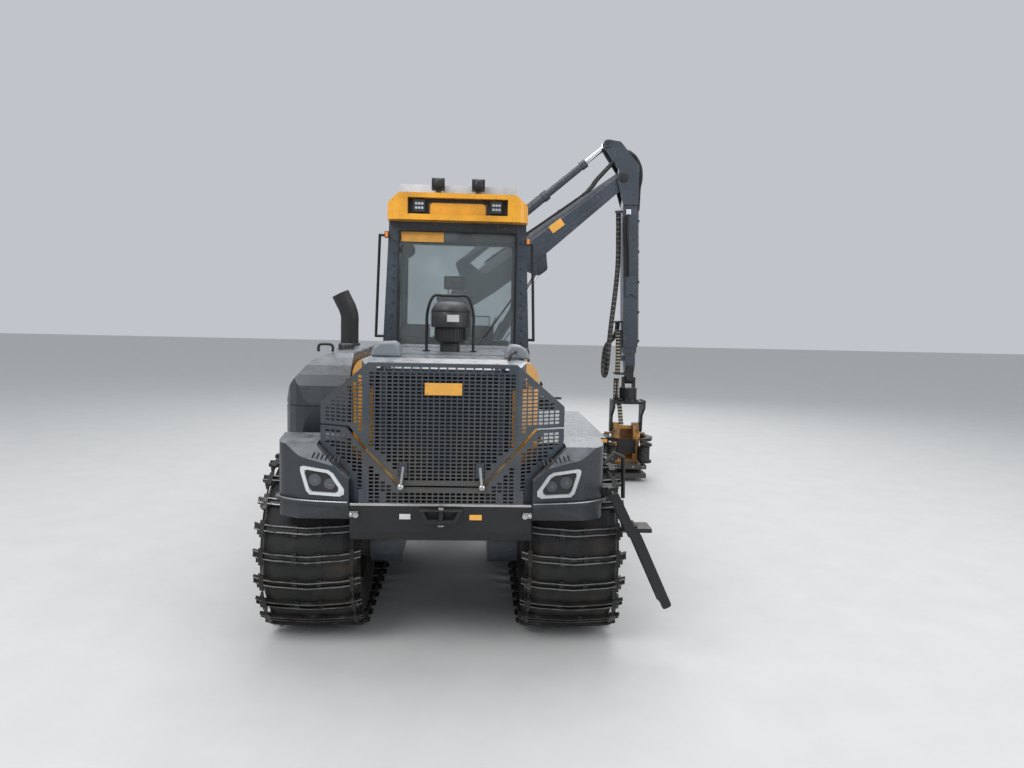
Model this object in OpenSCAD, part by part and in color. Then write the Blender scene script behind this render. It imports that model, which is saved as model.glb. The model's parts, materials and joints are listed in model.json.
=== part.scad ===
// Eight-wheeled forestry harvester with bogie tracks, a knuckle crane and a felling head.
// Right is +X, forward is +Y and up is +Z; the ground is at z = 0.
// Machine places are measured from the frame's steering pivot on the machine's centre line.

/* [Tracks and wheels] */
// Distance from the centre line to the middle of each tyre
wheel_x = 985; // [960:1:1040]
// Distance from the steering pivot to the middle of each bogie
bogie_y = 2000; // [1960:1:2060]
// Half of the distance between a bogie's two wheels
wheel_half = 750; // [740:1:780]
// Radius of a tyre
tyre_r = 662; // [650:1:670]
// Width of a tyre
tyre_w = 710; // [660:1:720]
// Width of a track
track_w = 783; // [760:1:800]
// Thickness of the track's link band
band_t = 14; // [12:1:16]
// Height of a track shoe above the band
shoe_h = 24; // [20:1:28]
// Length of a track shoe along the track
shoe_l = 70; // [60:1:80]
// Number of shoes in one track
shoe_count = 36; // [34:1:38]
// Radius of the wheel rims
rim_r = 345; // [335:1:350]

/* [Rear body] */
// Half width of the engine hood
hood_half = 720; // [700:1:730]
// Height of the hood's top above the ground
hood_z = 2210; // [2180:1:2260]
// Place of the hood's front end
hood_front_y = -650; // [-700:1:-640]
// Place of the hood's rear end
hood_rear_y = -3560; // [-3580:1:-3520]
// Thickness of the hood's panels
hood_t = 40; // [30:1:50]
// Place of the rear guard's middle plate
guard_y = -3640; // [-3660:1:-3630]
// Thickness of the guard plates
guard_t = 8; // [6:1:12]
// Outer half width of the lamp fenders
fender_half = 1175; // [1160:1:1220]
// Outer half width of the fuel tank
tank_half = 1240; // [1200:1:1260]

/* [Cab] */
// Half width of the cab at the window sill
cab_half = 860; // [840:1:880]
// Half width of the cab under the roof
cab_top_half = 800; // [780:1:815]
// Length of the cab
cab_l = 1800; // [1760:1:1830]
// Place of the cab's rear wall
cab_rear_y = 130; // [120:1:150]
// Height of the cab floor's underside
cab_floor_z = 1640; // [1620:1:1680]
// Height of the roof's lower edge
cab_top_z = 3600; // [3560:1:3640]
// Thickness of the cab's walls
cab_t = 80; // [70:1:90]
// Thickness of the window glass
glass_t = 12; // [8:1:16]

/* [Crane] */
// Place of the crane's slewing axis
crane_y = 2900; // [2880:1:2940]
// Height of the boom's foot pin
foot_z = 2765; // [2740:1:2800]
// Distance between the boom's two pins
boom_l = 3061; // [3020:1:3100]
// Angle of the boom above the horizontal
boom_tilt = 37.8; // [36:0.1:39]
// Depth of the stick's box
stick_d = 225; // [210:1:240]
// Width of the stick's box
stick_w = 230; // [210:1:250]
// Length of the stick below its pin
stick_l = 2560; // [2500:1:2600]
// Angle by which the stick's foot leans out
stick_lean = 2; // [1:0.1:4]

/* [Hidden] */

// Middle of the whole outline, seen from the steering pivot
middle_x = 830;
middle_y = 45;

seat_gap = 0.3;
run_gap = 6;
pin_gap = 0.1;
big_fn = 96;
small_fn = 32;
axle_z = tyre_r + seat_gap + band_t + shoe_h;

navy = [0.17, 0.21, 0.26];
black = [0.05, 0.05, 0.06];
yellow = [0.93, 0.62, 0.07];
steel = [0.55, 0.57, 0.6];

// Round a corner of an outline; each point is [x, y] or [x, y, radius]
function flat(p) = [p[0], p[1]];
function unit(v) = v / norm(v);
function near_turn(a) = a > 180 ? a - 360 : (a < -180 ? a + 360 : a);
function corner(before, at, after, n) =
  len(at) < 3 ? [flat(at)] :
  let (
    r = at[2],
    a = unit(flat(before) - flat(at)),
    b = unit(flat(after) - flat(at)),
    half = acos(a * b) / 2,
    c = flat(at) + unit(a + b) * r / sin(half),
    s = flat(at) + a * r / tan(half) - c,
    e = flat(at) + b * r / tan(half) - c,
    start = atan2(s[1], s[0]),
    turn = near_turn(atan2(e[1], e[0]) - start)
  )
  [for (k = [0:n]) c + r * [cos(start + turn * k / n), sin(start + turn * k / n)]];
function rounded(pts, n = 5) =
  let (m = len(pts))
  [for (i = [0:m - 1]) each corner(pts[(i + m - 1) % m], pts[i], pts[(i + 1) % m], n)];

// Solids drawn from an outline seen along one axis
module along_x(pts, x0, x1) {
  translate([x0, 0, 0]) rotate([90, 0, 90]) linear_extrude(x1 - x0) polygon(rounded(pts));
}
module along_y(pts, y0, y1) {
  translate([0, y1, 0]) rotate([90, 0, 0]) linear_extrude(y1 - y0) polygon(rounded(pts));
}
module along_z(pts, z0, z1) {
  translate([0, 0, z0]) linear_extrude(z1 - z0) polygon(rounded(pts));
}
module block(low, high) {
  translate(low) cube(high - low);
}
module rod_x(x0, x1, r, y, z, fn = small_fn) {
  translate([x0, y, z]) rotate([0, 90, 0]) cylinder(h = x1 - x0, r = r, $fn = fn);
}
module rod_y(y0, y1, r, x, z, fn = small_fn) {
  translate([x, y1, z]) rotate([90, 0, 0]) cylinder(h = y1 - y0, r = r, $fn = fn);
}
module rod_between(a, b, r, fn = small_fn) {
  d = b - a;
  translate(a) rotate([0, acos(d[2] / norm(d)), atan2(d[1], d[0])])
    cylinder(h = norm(d), r = r, $fn = fn);
}
// A bent tube: straight stretches with a ball at each corner
module tube_path(pts, r) {
  for (i = [0:len(pts) - 2]) rod_between(pts[i], pts[i + 1], r);
  for (i = [1:len(pts) - 2]) translate(pts[i]) sphere(r = r + 1, $fn = small_fn);
}
module both_sides() {
  children();
  mirror([1, 0, 0]) children();
}

// Tracks and wheels
pitch_r = tyre_r + seat_gap + band_t;
loop_l = 4 * wheel_half + 2 * PI * pitch_r;
shoe_pitch = loop_l / shoe_count;
arc_l = PI * pitch_r;
inner_steps = 18;
// A point beside the track's line, at distance s along it and rise off it
function loop_at(s, rise) =
  let (t = s % loop_l, run = 2 * wheel_half, r = pitch_r + rise)
  t < run ? [t - wheel_half, -r] :
  t < run + arc_l ?
    let (a = -90 + (t - run) / pitch_r * 180 / PI) [wheel_half + r * cos(a), r * sin(a)] :
  t < 2 * run + arc_l ? [wheel_half - (t - run - arc_l), r] :
    let (a = 90 + (t - 2 * run - arc_l) / pitch_r * 180 / PI)
    [-wheel_half + r * cos(a), r * sin(a)];
function shoe_outline() = [
  for (i = [0:shoe_count - 1])
    for (e = [[-1, 0], [-1, shoe_h], [1, shoe_h], [1, 0]])
      loop_at((i + 0.5) * shoe_pitch + e[0] * shoe_l / 2, e[1])
];
function inner_outline() =
  let (step = 180 / inner_steps, r = (tyre_r + seat_gap) / cos(step / 2))
  [for (side = [1, -1]) for (k = [0:inner_steps - 1])
    let (a = side * (-90) + step * (k + 0.5))
    [side * wheel_half + r * cos(a), r * sin(a)]];
module track_at(x, y) {
  translate([x - track_w / 2, y, axle_z]) rotate([90, 0, 90]) linear_extrude(track_w)
    difference() {
      polygon(shoe_outline());
      polygon(inner_outline());
    }
}
module bogie_tracks(y) {
  color(black) for (s = [-1, 1]) track_at(s * wheel_x, y);
}
module each_wheel(y) {
  for (s = [-1, 1]) for (w = [-1, 1])
    translate([s * wheel_x, y + w * wheel_half, axle_z]) rotate([0, s * 90, 0]) children();
}
tyre_half = tyre_w / 2;
module bogie_tyres(y) {
  color([0.06, 0.06, 0.06]) each_wheel(y) rotate_extrude($fn = big_fn) polygon([
    [rim_r, -tyre_half + 30], [rim_r, tyre_half - 30], [rim_r + 85, tyre_half],
    [tyre_r - 100, tyre_half], [tyre_r - 22, tyre_half - 38], [tyre_r, tyre_half - 100],
    [tyre_r, 100 - tyre_half], [tyre_r - 22, 38 - tyre_half], [tyre_r - 100, -tyre_half],
    [rim_r + 85, -tyre_half]]);
}
case_out = 590;
case_in = 350;
hub_in = case_out - wheel_x;
module bogie_rims(y) {
  r = rim_r - seat_gap;
  color(steel) each_wheel(y) rotate_extrude($fn = big_fn) polygon([
    [0, hub_in + seat_gap], [150, hub_in + seat_gap], [150, -150], [r - 20, -150],
    [r - 20, 30 - tyre_half], [r, 30 - tyre_half], [r, tyre_half - 30],
    [r - 20, tyre_half - 30], [r - 20, -120], [170, -120], [170, 20], [120, 50], [0, 50]]);
}
case_r = 190;
module bogie_axle(y) {
  color(navy) {
    both_sides() translate([case_in, y, axle_z]) rotate([90, 0, 90])
      linear_extrude(case_out - case_in) {
        for (w = [-1, 1]) translate([w * wheel_half, 0]) circle(r = case_r, $fn = big_fn);
        translate([-wheel_half, -case_r + 30]) square([2 * wheel_half, 2 * case_r - 60]);
      }
    rod_x(-case_in, case_in, 150, y, axle_z, big_fn);
    rod_x(-200, 200, neck_r, y, axle_z, big_fn);
  }
}
module rear_axle() bogie_axle(-bogie_y);
module rear_tyres() bogie_tyres(-bogie_y);
module rear_rims() bogie_rims(-bogie_y);
module rear_tracks() bogie_tracks(-bogie_y);
module front_axle() bogie_axle(bogie_y);
module front_tyres() bogie_tyres(bogie_y);
module front_rims() bogie_rims(bogie_y);
module front_tracks() bogie_tracks(bogie_y);

// Frames and the steering pivot
wheel_rear_y = -bogie_y - wheel_half;
spine_half = 330;
spine_front_y = 3650;
neck_r = 215;
spine_low = axle_z + neck_r + seat_gap;
spine_high = 1150;
deck_z = 1448;
pivot_pin_r = 60;
ear_t = 60;
ear_half = 170;
ear_low = 690;
ear_high = 1070;
knuckle_low = ear_low + ear_t + run_gap;
knuckle_high = ear_high - run_gap;
module rear_frame() {
  color(navy) {
    block([-spine_half, hood_rear_y, spine_low], [spine_half, -900, spine_high]);
    for (z = [ear_low, ear_high]) difference() {
      along_z([[-ear_half, -950], [ear_half, -950], [ear_half, ear_half, 165],
        [-ear_half, ear_half, 165]], z, z + ear_t);
      translate([0, 0, z - 1]) cylinder(h = ear_t + 2, r = pivot_pin_r + pin_gap, $fn = big_fn);
    }
    block([-ear_half, -950, ear_low], [ear_half, -600, ear_high + ear_t]);
    // Outriggers that carry the hood, fenders, tank and side box
    for (y = [wheel_rear_y + 60, -2050, -1400]) {
      block([-560, y - 50, spine_high - 80], [560, y + 50, spine_high]);
      both_sides() {
        block([490, y - 50, spine_high - 80], [560, y + 50, deck_z - seat_gap]);
        block([490, y - 50, deck_z - 40], [1120, y + 50, deck_z - seat_gap]);
      }
    }
  }
}
module front_frame() {
  color(navy) {
    block([-spine_half, 700, spine_low], [spine_half, spine_front_y, spine_high]);
    block([-ear_half, 260, knuckle_low], [ear_half, 750, knuckle_high]);
    along_z([[-ear_half, 300], [-ear_half, -ear_half, 165], [ear_half, -ear_half, 165],
      [ear_half, 300]], knuckle_low, knuckle_high);
    translate([0, 0, ear_low - 12])
      cylinder(h = ear_high + ear_t - ear_low + 24, r = pivot_pin_r, $fn = big_fn);
    // Turret under the crane
    difference() {
      translate([0, crane_y, spine_high - 1]) cylinder(h = 301, r = 430, $fn = big_fn);
      translate([0, crane_y, turret_z - 65]) cylinder(h = 70, r = 200 + pin_gap, $fn = big_fn);
    }
    block([-430, crane_y - 430, spine_high - 200], [430, crane_y + 430, spine_high + 60]);
    // Mudguards over the tracks
    both_sides() {
      block([430, 1050, 1450], [1376, 3350, 1480]);
      for (y = [1300, 2300]) block([spine_half - 5, y - 50, 1070], [500, y + 50, 1150]);
      for (y = [1300, 2300]) block([435, y - 50, 1070], [500, y + 50, 1451]);
    }
  }
}
turret_z = spine_high + 300;
module front_guard() {
  color(navy) {
    y = spine_front_y + seat_gap;
    along_x([[y, 760], [y + 50, 700], [y + 110, 700], [y + 150, 900], [y + 110, 1250],
      [y, 1250]], -760, 760);
    both_sides() along_x([[y, 900], [y + 110, 900], [y + 90, 1250], [y, 1250]], 755, 1150);
  }
}

// Rear body
shoulder_r = 180;
panel_z = 2010;
hood_low = deck_z;
function hood_arch(t) = [
  [-hood_half + t, hood_low - 1], [hood_half - t, hood_low - 1],
  [hood_half - t, hood_z - t, shoulder_r - t], [-hood_half + t, hood_z - t, shoulder_r - t]];
function hood_plan(t) = [
  [-hood_half + t, hood_front_y - t], [hood_half - t, hood_front_y - t],
  [hood_half - t, -3050], [530 - t, hood_rear_y], [-530 + t, hood_rear_y],
  [-hood_half + t, -3050]];
module hood_shell() {
  difference() {
    intersection() {
      along_y(hood_arch(0), hood_rear_y, hood_front_y);
      along_z(hood_plan(0), hood_low, hood_z + 1);
      along_x([[hood_front_y + 1, hood_low - 1], [hood_front_y + 1, hood_z - 60, 50],
        [hood_front_y - 60, hood_z + 2], [-3300, hood_z + 2], [hood_rear_y - 1, hood_z - 60],
        [hood_rear_y - 1, hood_low - 1]], -hood_half - 1, hood_half + 1);
    }
    intersection() {
      along_y(hood_arch(hood_t), hood_rear_y - 1, hood_front_y - hood_t);
      along_z(hood_plan(hood_t), hood_low - 2, hood_z + 1);
      along_x([[hood_front_y - hood_t, hood_low - 3], [hood_front_y - hood_t, hood_z - hood_t - 5],
        [-3300, hood_z - hood_t - 5], [hood_rear_y - 2, hood_z - 60 - hood_t],
        [hood_rear_y - 2, hood_low - 3]], -hood_half, hood_half);
    }
  }
}
hinge_r = 14;
hood_hinge_y = hood_front_y + 30;
hood_hinge_z = panel_z + 30;
module hood_top() {
  color(navy) {
    intersection() {
      hood_shell();
      block([-800, -3700, panel_z + run_gap], [800, -500, 2400]);
    }
    both_sides() difference() {
      along_x([[hood_front_y - 20, hood_hinge_z - 20], [hood_hinge_y + 24, hood_hinge_z - 24, 20],
        [hood_hinge_y + 24, hood_hinge_z + 40], [hood_front_y - 20, hood_hinge_z + 60]], 440, 480);
      rod_x(400, 560, hinge_r + pin_gap, hood_hinge_y, hood_hinge_z);
    }
  }
}
module hood_sides() {
  color(yellow) {
    intersection() {
      hood_shell();
      block([-800, -3700, hood_low], [800, -500, panel_z]);
    }
    both_sides() {
      rod_x(430, 540, hinge_r, hood_hinge_y, hood_hinge_z);
      block([500, hood_front_y - 30, panel_z - 80], [540, hood_hinge_y + 24, panel_z]);
      block([500, hood_front_y + 2 * run_gap, panel_z - 1], [540, hood_hinge_y + 24, hood_hinge_z + 20]);
    }
  }
}
module engine() {
  color([0.25, 0.26, 0.27]) {
    block([-330, -2900, 1200], [330, -1250, 1900]);
    block([-240, -2700, spine_high + seat_gap], [240, -1450, 1201]);
  }
}
module radiator() {
  color(black) {
    block([-470, -3480, 1360], [470, -3300, 2080]);
    both_sides() block([-spine_half + 60, -3440, spine_high + seat_gap], [-spine_half + 160, -3340, 1361]);
  }
}

// Fenders with lamp pods over the rear tracks
fender_in = hood_half + run_gap;
fender_low = deck_z;
fender_high = 1540;
arch_r = pitch_r + shoe_h + 50;
lip_y = wheel_rear_y - 560;
function arch_pts() = [for (a = [90:12:150])
  [wheel_rear_y + arch_r * cos(a), axle_z + arch_r * sin(a)]];
module rear_fenders() {
  color(navy) both_sides() {
    difference() {
      intersection() {
        along_z([[fender_in, -1300], [fender_in, -3400], [645, -3480], [645, -3655],
          [700, -3650], [1000, -3590, 200], [fender_half, -3480, 110], [fender_half, -1300]],
          1000, 1700);
        translate([600, 0, 0]) rotate([90, 0, 90]) linear_extrude(700)
          polygon(concat([[-1300, fender_low]], arch_pts(),
            [[-3460, 1075], [-3580, 1075], [-3660, 1200], [-3660, 1440], [-3520, 1600],
             [-3260, 1640], [tank_rear_y - 10, fender_high], [-1300, fender_high]]));
      }
      // Slope under the guard's wings
      along_y([[600, 1370], [640, 1370], [700, 1415], [890, 1590], [890, 1700], [600, 1700]],
        -3700, -3440);
      // Pocket for the lamp
      translate([0, -3500, 0]) rotate([90, 0, 0]) linear_extrude(200) polygon(lamp_outline(-seat_gap));
    }
    // Lip round the pod's foot
    intersection() {
      along_z([[645, -3500], [645, -3675], [700, -3670], [1000, -3612, 200],
        [fender_half + 25, -3500, 110], [fender_half + 25, lip_y], [fender_half - 20, lip_y],
        [fender_half - 40, -3480], [1000, -3560]], 1190, 1215);
      block([600, -3700, 1180], [1300, lip_y + 1, 1220]);
    }
  }
}
// Outline of one lamp unit; grow moves its edge outwards
function lamp_outline(grow) = [
  [690 + grow, 1250 + grow], [668 + grow, 1290], [772, 1430 - grow], [990 - grow, 1456 - grow],
  [1000 - grow, 1436], [942, 1255 + grow]];
module rear_lamps() {
  color([0.8, 0.81, 0.83]) both_sides() intersection() {
    translate([0, -3500 - seat_gap, 0]) rotate([90, 0, 0]) linear_extrude(190)
      polygon(lamp_outline(0));
    along_z([[600, -3400], [600, -3668], [1000, -3606, 200], [1200, -3500], [1200, -3400]],
      1100, 1500);
  }
}
tank_rear_y = -3150;
tank_front_y = -950;
tank_seam_z = 1815;
tank_top_z = hood_z + 15;
tank_top_w = 154;
stack_x = 255 - tank_half;
stack_y = -1500;
stack_r = 84;
stack_z = tank_top_z + 15;
module fuel_tank() {
  in_x = -hood_half - run_gap;
  low = fender_high + seat_gap;
  slope_w = tank_half + in_x - tank_top_w;
  color(navy) difference() {
    union() {
      // Foot of the exhaust
      translate([stack_x, stack_y, tank_seam_z])
        cylinder(h = stack_z - seat_gap - tank_seam_z, r = stack_r + 16, $fn = big_fn);
      intersection() {
        along_y([[in_x, low], [in_x, tank_top_z, 30], [in_x - tank_top_w, tank_top_z, 160],
          [-tank_half + slope_w * 205 / 360, tank_top_z - 60, 160],
          [-tank_half + slope_w / 9, tank_seam_z + 150, 160], [-tank_half, tank_seam_z, 60],
          [-tank_half, low, 60]], tank_rear_y, tank_front_y);
        along_x([[tank_rear_y + 30, low - 1], [tank_rear_y, tank_seam_z, 200],
          [tank_rear_y + 100, tank_top_z + 1, 330], [tank_front_y - 50, tank_top_z + 1, 200],
          [tank_front_y, low - 1]], -tank_half - 1, -hood_half);
        along_z([[-tank_half - 1, tank_rear_y, 260], [-hood_half, tank_rear_y],
          [-hood_half, tank_front_y + 1], [-tank_half - 1, tank_front_y + 1, 120]],
          low - 1, tank_top_z + 1);
      }
    }
    // Seam between the tank and its lid
    difference() {
      block([-tank_half - 2, tank_rear_y - 1, tank_seam_z],
        [in_x + 1, tank_front_y + 1, tank_seam_z + 12]);
      along_z([[-tank_half + 10, tank_rear_y + 14, 250], [-hood_half, tank_rear_y + 14],
        [-hood_half, tank_front_y + 2], [-tank_half + 10, tank_front_y + 2]],
        tank_seam_z - 1, tank_seam_z + 13);
    }
  }
}
module side_box() {
  color(navy) along_y([[hood_half + run_gap, fender_high + seat_gap], [1290, fender_high + seat_gap],
    [1290, fender_high + 40, 14], [hood_half + run_gap, fender_high + 60]], -2950, -1250);
}

// Rear guard: a perforated door over a perforated apron
slot_dx = 176;
slot_dz = 100;
slot_w = 120;
slot_h = 56;
door_outline = [[-515, 2190], [515, 2190], [870, 1885], [870, 1745], [655, 1745],
  [275, 1335], [-275, 1335], [-655, 1745], [-870, 1745], [-870, 1885]];
apron_outline = [[-870, 1722], [-667, 1722], [-290, 1312], [290, 1312], [667, 1722],
  [870, 1722], [870, 1600], [690, 1440], [645, 1400], [645, 1190], [-645, 1190],
  [-645, 1400], [-690, 1440], [-870, 1600]];
// Distance of a point from an edge and whether it lies inside an outline
function crossings(p, o) = len([for (i = [0:len(o) - 1])
  let (a = o[i], b = o[(i + 1) % len(o)])
  if ((a[1] > p[1]) != (b[1] > p[1]) &&
      p[0] < (b[0] - a[0]) * (p[1] - a[1]) / (b[1] - a[1]) + a[0]) 1]);
function inside(p, o) = crossings(p, o) % 2 == 1;
function slot_fits(p, o) = min([for (dx = [-1, 1]) for (dz = [-1, 1])
  inside(p + [dx * (slot_w / 2 + 22), dz * (slot_h / 2 + 18)], o) ? 1 : 0]) == 1;
module perforated(o) {
  difference() {
    polygon(o);
    for (ix = [-5:5]) for (iz = [0:9])
      let (p = [ix * slot_dx, 1240 + iz * slot_dz])
      if (slot_fits(p, o)) translate(p) square([slot_w, slot_h], center = true);
  }
}
wing_y = -3480;
module folded_plate(o) {
  intersection() {
    translate([0, guard_y + 300, 0]) rotate([90, 0, 0]) linear_extrude(400) perforated(o);
    along_z([[-900, wing_y + 14], [-530, guard_y], [530, guard_y], [900, wing_y + 14],
      [900, wing_y + 14 + guard_t * 1.1], [530 - 2, guard_y + guard_t],
      [-530 + 2, guard_y + guard_t], [-900, wing_y + 14 + guard_t * 1.1]], 1100, 2300);
  }
}
guard_hinge_y = guard_y + 26;
guard_hinge_z = hood_z - 30;
module guard_door() {
  color(navy) {
    folded_plate(door_outline);
    both_sides() {
      rod_y(guard_y - 30, guard_y + 1, 14, 268, 1372);
      block([225, guard_y - 12, 1340], [300, guard_y + 1, 1420]);
      difference() {
        along_x([[guard_y + 4, 2150], [guard_hinge_y + 20, guard_hinge_z - 20, 15],
          [guard_hinge_y + 20, guard_hinge_z + 20, 15], [guard_y + 4, 2188]], 360, 390);
        rod_x(300, 450, 10 + pin_gap, guard_hinge_y, guard_hinge_z);
      }
    }
  }
}
module guard_apron() {
  color(navy) {
    folded_plate(apron_outline);
    both_sides() {
      // Posts that carry the plates and the door's hinge
      block([540, guard_y + 2, 1200], [580, -3560 - seat_gap, 1300]);
      block([396, guard_y + 30, 1184], [436, guard_y + 70, 2180]);
      rod_x(350, 430, 10, guard_hinge_y, guard_hinge_z);
      rod_x(396, 436, 12, guard_hinge_y, guard_hinge_z);
      block([396, guard_hinge_y, guard_hinge_z - 12], [436, guard_y + 70, guard_hinge_z + 12]);
      block([396, guard_y + 2, 1210], [436, guard_y + 40, 1290]);
      block([300, guard_y + 30, 1184], [560, guard_y + 70, 1230]);
    }
  }
}
module rear_bumper() {
  color(black) {
    along_x([[-3560 - seat_gap, 930], [-3600, 930, 20], [-3640, 1000, 20], [-3640, 1184 - seat_gap],
      [-3560 - seat_gap, 1184 - seat_gap]], -640, 640);
    // Tow frame in the middle
    difference() {
      along_y([[-150, 1165], [-105, 1075], [105, 1075], [150, 1165]], -3700, -3630);
      along_y([[-120, 1160], [-88, 1095], [88, 1095], [120, 1160]], -3710, -3645);
    }
    translate([0, -3670, 1060]) cylinder(h = 110, r = 22, $fn = small_fn);
  }
}
module exhaust() {
  color(black) translate([stack_x, stack_y, stack_z]) {
    cylinder(h = 330, r = stack_r, $fn = big_fn);
    difference() {
      rod_between([0, 0, 290], [-90, 0, 470], stack_r, big_fn);
      rod_between([-65, 0, 420], [-100, 0, 490], stack_r - 8, big_fn);
    }
  }
}
cleaner_y = -2200;
cleaner_r = 167;
module precleaner() {
  color(black) translate([0, cleaner_y, hood_z + seat_gap]) {
    rotate_extrude($fn = big_fn) polygon([[0, 0], [88, 0], [88, 80], [cleaner_r - 36, 80],
      [cleaner_r - 36, 215], [cleaner_r, 215], [cleaner_r, 350], [cleaner_r - 38, 440], [0, 440]]);
    // Guard hoop over the bowl
    tube_path([[-205, 0, 0], [-205, 0, 275], [-155, 0, 490], [155, 0, 490], [205, 0, 275], [205, 0, 0]], 16);
  }
}

// Folding ladder behind the right-hand rear track, leaning out at its foot
ladder_x = 1237;
ladder_z = 1265;
ladder_lean = 25;
ladder_y0 = -3650;
ladder_y1 = -3470;
ladder_l = 905;
module ladder() {
  color(black) translate([ladder_x, 0, ladder_z]) rotate([0, -ladder_lean, 0]) {
    for (y = [ladder_y0, ladder_y1 - 12]) difference() {
      along_y([[-30, 30, 20], [30, 30, 20], [40, -300], [62, -330], [62, -ladder_l, 20],
        [-8, -ladder_l, 20], [-8, -330], [-30, -300]], y, y + 12);
      rod_y(y - 1, y + 13, 12 + pin_gap, 0, 0);
    }
    for (z = [-860, -600]) block([-6, ladder_y0 + 11, z], [60, ladder_y1 - 11, z + 30]);
    // First step, standing out level
    rotate([0, ladder_lean, 0]) block([80, ladder_y0, -255], [270, ladder_y1, -225]);
    block([-6, ladder_y0 + 11, -340], [60, ladder_y1 - 11, -255]);
  }
}
bracket_low = 1225;
bracket_high = 1290;
rail_y = wheel_rear_y - 300;
module rear_rail() {
  color(black) {
    // Ladder bracket with its pin, bolted to the fender's side
    block([fender_half + seat_gap, rail_y - 390, bracket_low], [ladder_x + 20, rail_y - 240, bracket_high]);
    block([ladder_x - 20, ladder_y1 + run_gap, ladder_z - 18], [ladder_x + 20, rail_y - 240, bracket_high]);
    rod_y(ladder_y0 - 6, ladder_y1 + run_gap + 1, 12, ladder_x, ladder_z);
    // Bent hand rail
    tube_path([[fender_half + 12, rail_y - 50, 1440], [1240, rail_y - 50, 1400],
      [1325, rail_y - 10, 1478], [1405, rail_y + 20, 1440], [1420, rail_y + 50, 1110]], 16);
    block([fender_half + seat_gap, rail_y - 280, 1275], [fender_half + 20, rail_y - 140, 1470]);
    block([fender_half + seat_gap, rail_y - 141, 1415], [fender_half + 20, rail_y, 1470]);
  }
}

// Cab
cab_front_y = cab_rear_y + cab_l;
cab_low_half = 780;
function cab_section(t) = [
  [-cab_low_half + t, cab_floor_z + t], [cab_low_half - t, cab_floor_z + t],
  [cab_half - t, 2100], [cab_top_half - t, cab_top_z - t], [-cab_top_half + t, cab_top_z - t],
  [-cab_half + t, 2100]];
function cab_side(t) = [
  [cab_rear_y + t, cab_floor_z + t], [cab_front_y - 120 - t, cab_floor_z + t],
  [cab_front_y - t, 2050], [cab_front_y - 60 - t, cab_top_z - t],
  [cab_rear_y + 40 + t, cab_top_z - t], [cab_rear_y + t, 2050]];
module cab_form(t) {
  intersection() {
    along_y(cab_section(t), cab_rear_y - 1 + t, cab_front_y + 1 - t);
    along_x(cab_side(t), -cab_half - 1, cab_half + 1);
  }
}
// Openings as [name, outline seen along the wall]
rear_window = [[-cab_half + 170, 2130, 40], [cab_half - 170, 2130, 40],
  [cab_top_half - 120, cab_top_z - 110, 40], [-cab_top_half + 120, cab_top_z - 110, 40]];
front_window = [[-cab_half + 130, 1950, 60], [cab_half - 130, 1950, 60],
  [cab_top_half - 90, cab_top_z - 120, 40], [-cab_top_half + 90, cab_top_z - 120, 40]];
side_window = [[cab_rear_y + 130, 2130, 40], [cab_front_y - 160, 2130, 40],
  [cab_front_y - 190, cab_top_z - 120, 40], [cab_rear_y + 150, cab_top_z - 120, 40]];
quarter_window = [[cab_rear_y + 130, 2130, 30], [cab_rear_y + 430, 2130, 30],
  [cab_rear_y + 430, cab_top_z - 120, 30], [cab_rear_y + 150, cab_top_z - 120, 30]];
door_y0 = cab_rear_y + 520;
door_y1 = cab_front_y - 190;
door_low = cab_floor_z + 90;
door_high = cab_top_z - 70;
module door_form(gap) {
  along_x([[door_y0 + gap, door_low + gap, 30], [door_y1 - gap, door_low + gap, 30],
    [door_y1 - gap, door_high - gap, 30], [door_y0 + gap, door_high - gap, 30]],
    -cab_half - 2, -cab_top_half + cab_t + 60);
}
door_window = [[door_y0 + 90, 1900, 40], [door_y1 - 90, 1900, 40],
  [door_y1 - 90, door_high - 90, 40], [door_y0 + 90, door_high - 90, 40]];
module shrunk(o, g) {
  c = [for (p = o) flat(p)];
  m = [(max([for (p = c) p[0]]) + min([for (p = c) p[0]])) / 2,
       (max([for (p = c) p[1]]) + min([for (p = c) p[1]])) / 2];
  polygon(rounded([for (p = o) [p[0] - g * sign(p[0] - m[0]), p[1] - g * sign(p[1] - m[1]), p[2]]]));
}
module window_y(o, g, y0, y1) {
  translate([0, y1, 0]) rotate([90, 0, 0]) linear_extrude(y1 - y0) shrunk(o, g);
}
module window_x(o, g, x0, x1) {
  translate([x0, 0, 0]) rotate([90, 0, 90]) linear_extrude(x1 - x0) shrunk(o, g);
}
cab_base_z = cab_floor_z - 80;
module cab_base() {
  color(navy) {
    block([-640, cab_rear_y + 150, cab_base_z], [640, cab_front_y - 200, cab_floor_z - seat_gap]);
    for (y = [cab_rear_y + 200, cab_front_y - 400])
      block([-300, y, spine_high + seat_gap], [300, y + 160, cab_base_z + 1]);
    // Beam from the frame to the cab's rear mount
    block([-250, cab_rear_y + 150, cab_base_z - 160], [250, cab_front_y - 240, cab_base_z + 1]);
  }
}
module cab_shell() {
  color(navy) difference() {
    cab_form(0);
    cab_form(cab_t);
    window_y(rear_window, 0, cab_rear_y - 10, cab_rear_y + 200);
    window_y(front_window, 0, cab_front_y - 260, cab_front_y + 10);
    window_x(side_window, 0, cab_top_half - 200, cab_half + 10);
    window_x(quarter_window, 0, -cab_half - 10, -cab_top_half + 200);
    door_form(0);
  }
}
module pane(t0) {
  intersection() {
    difference() {
      cab_form(t0);
      cab_form(t0 + glass_t);
    }
    children();
  }
}
glass_in = 30;
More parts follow.
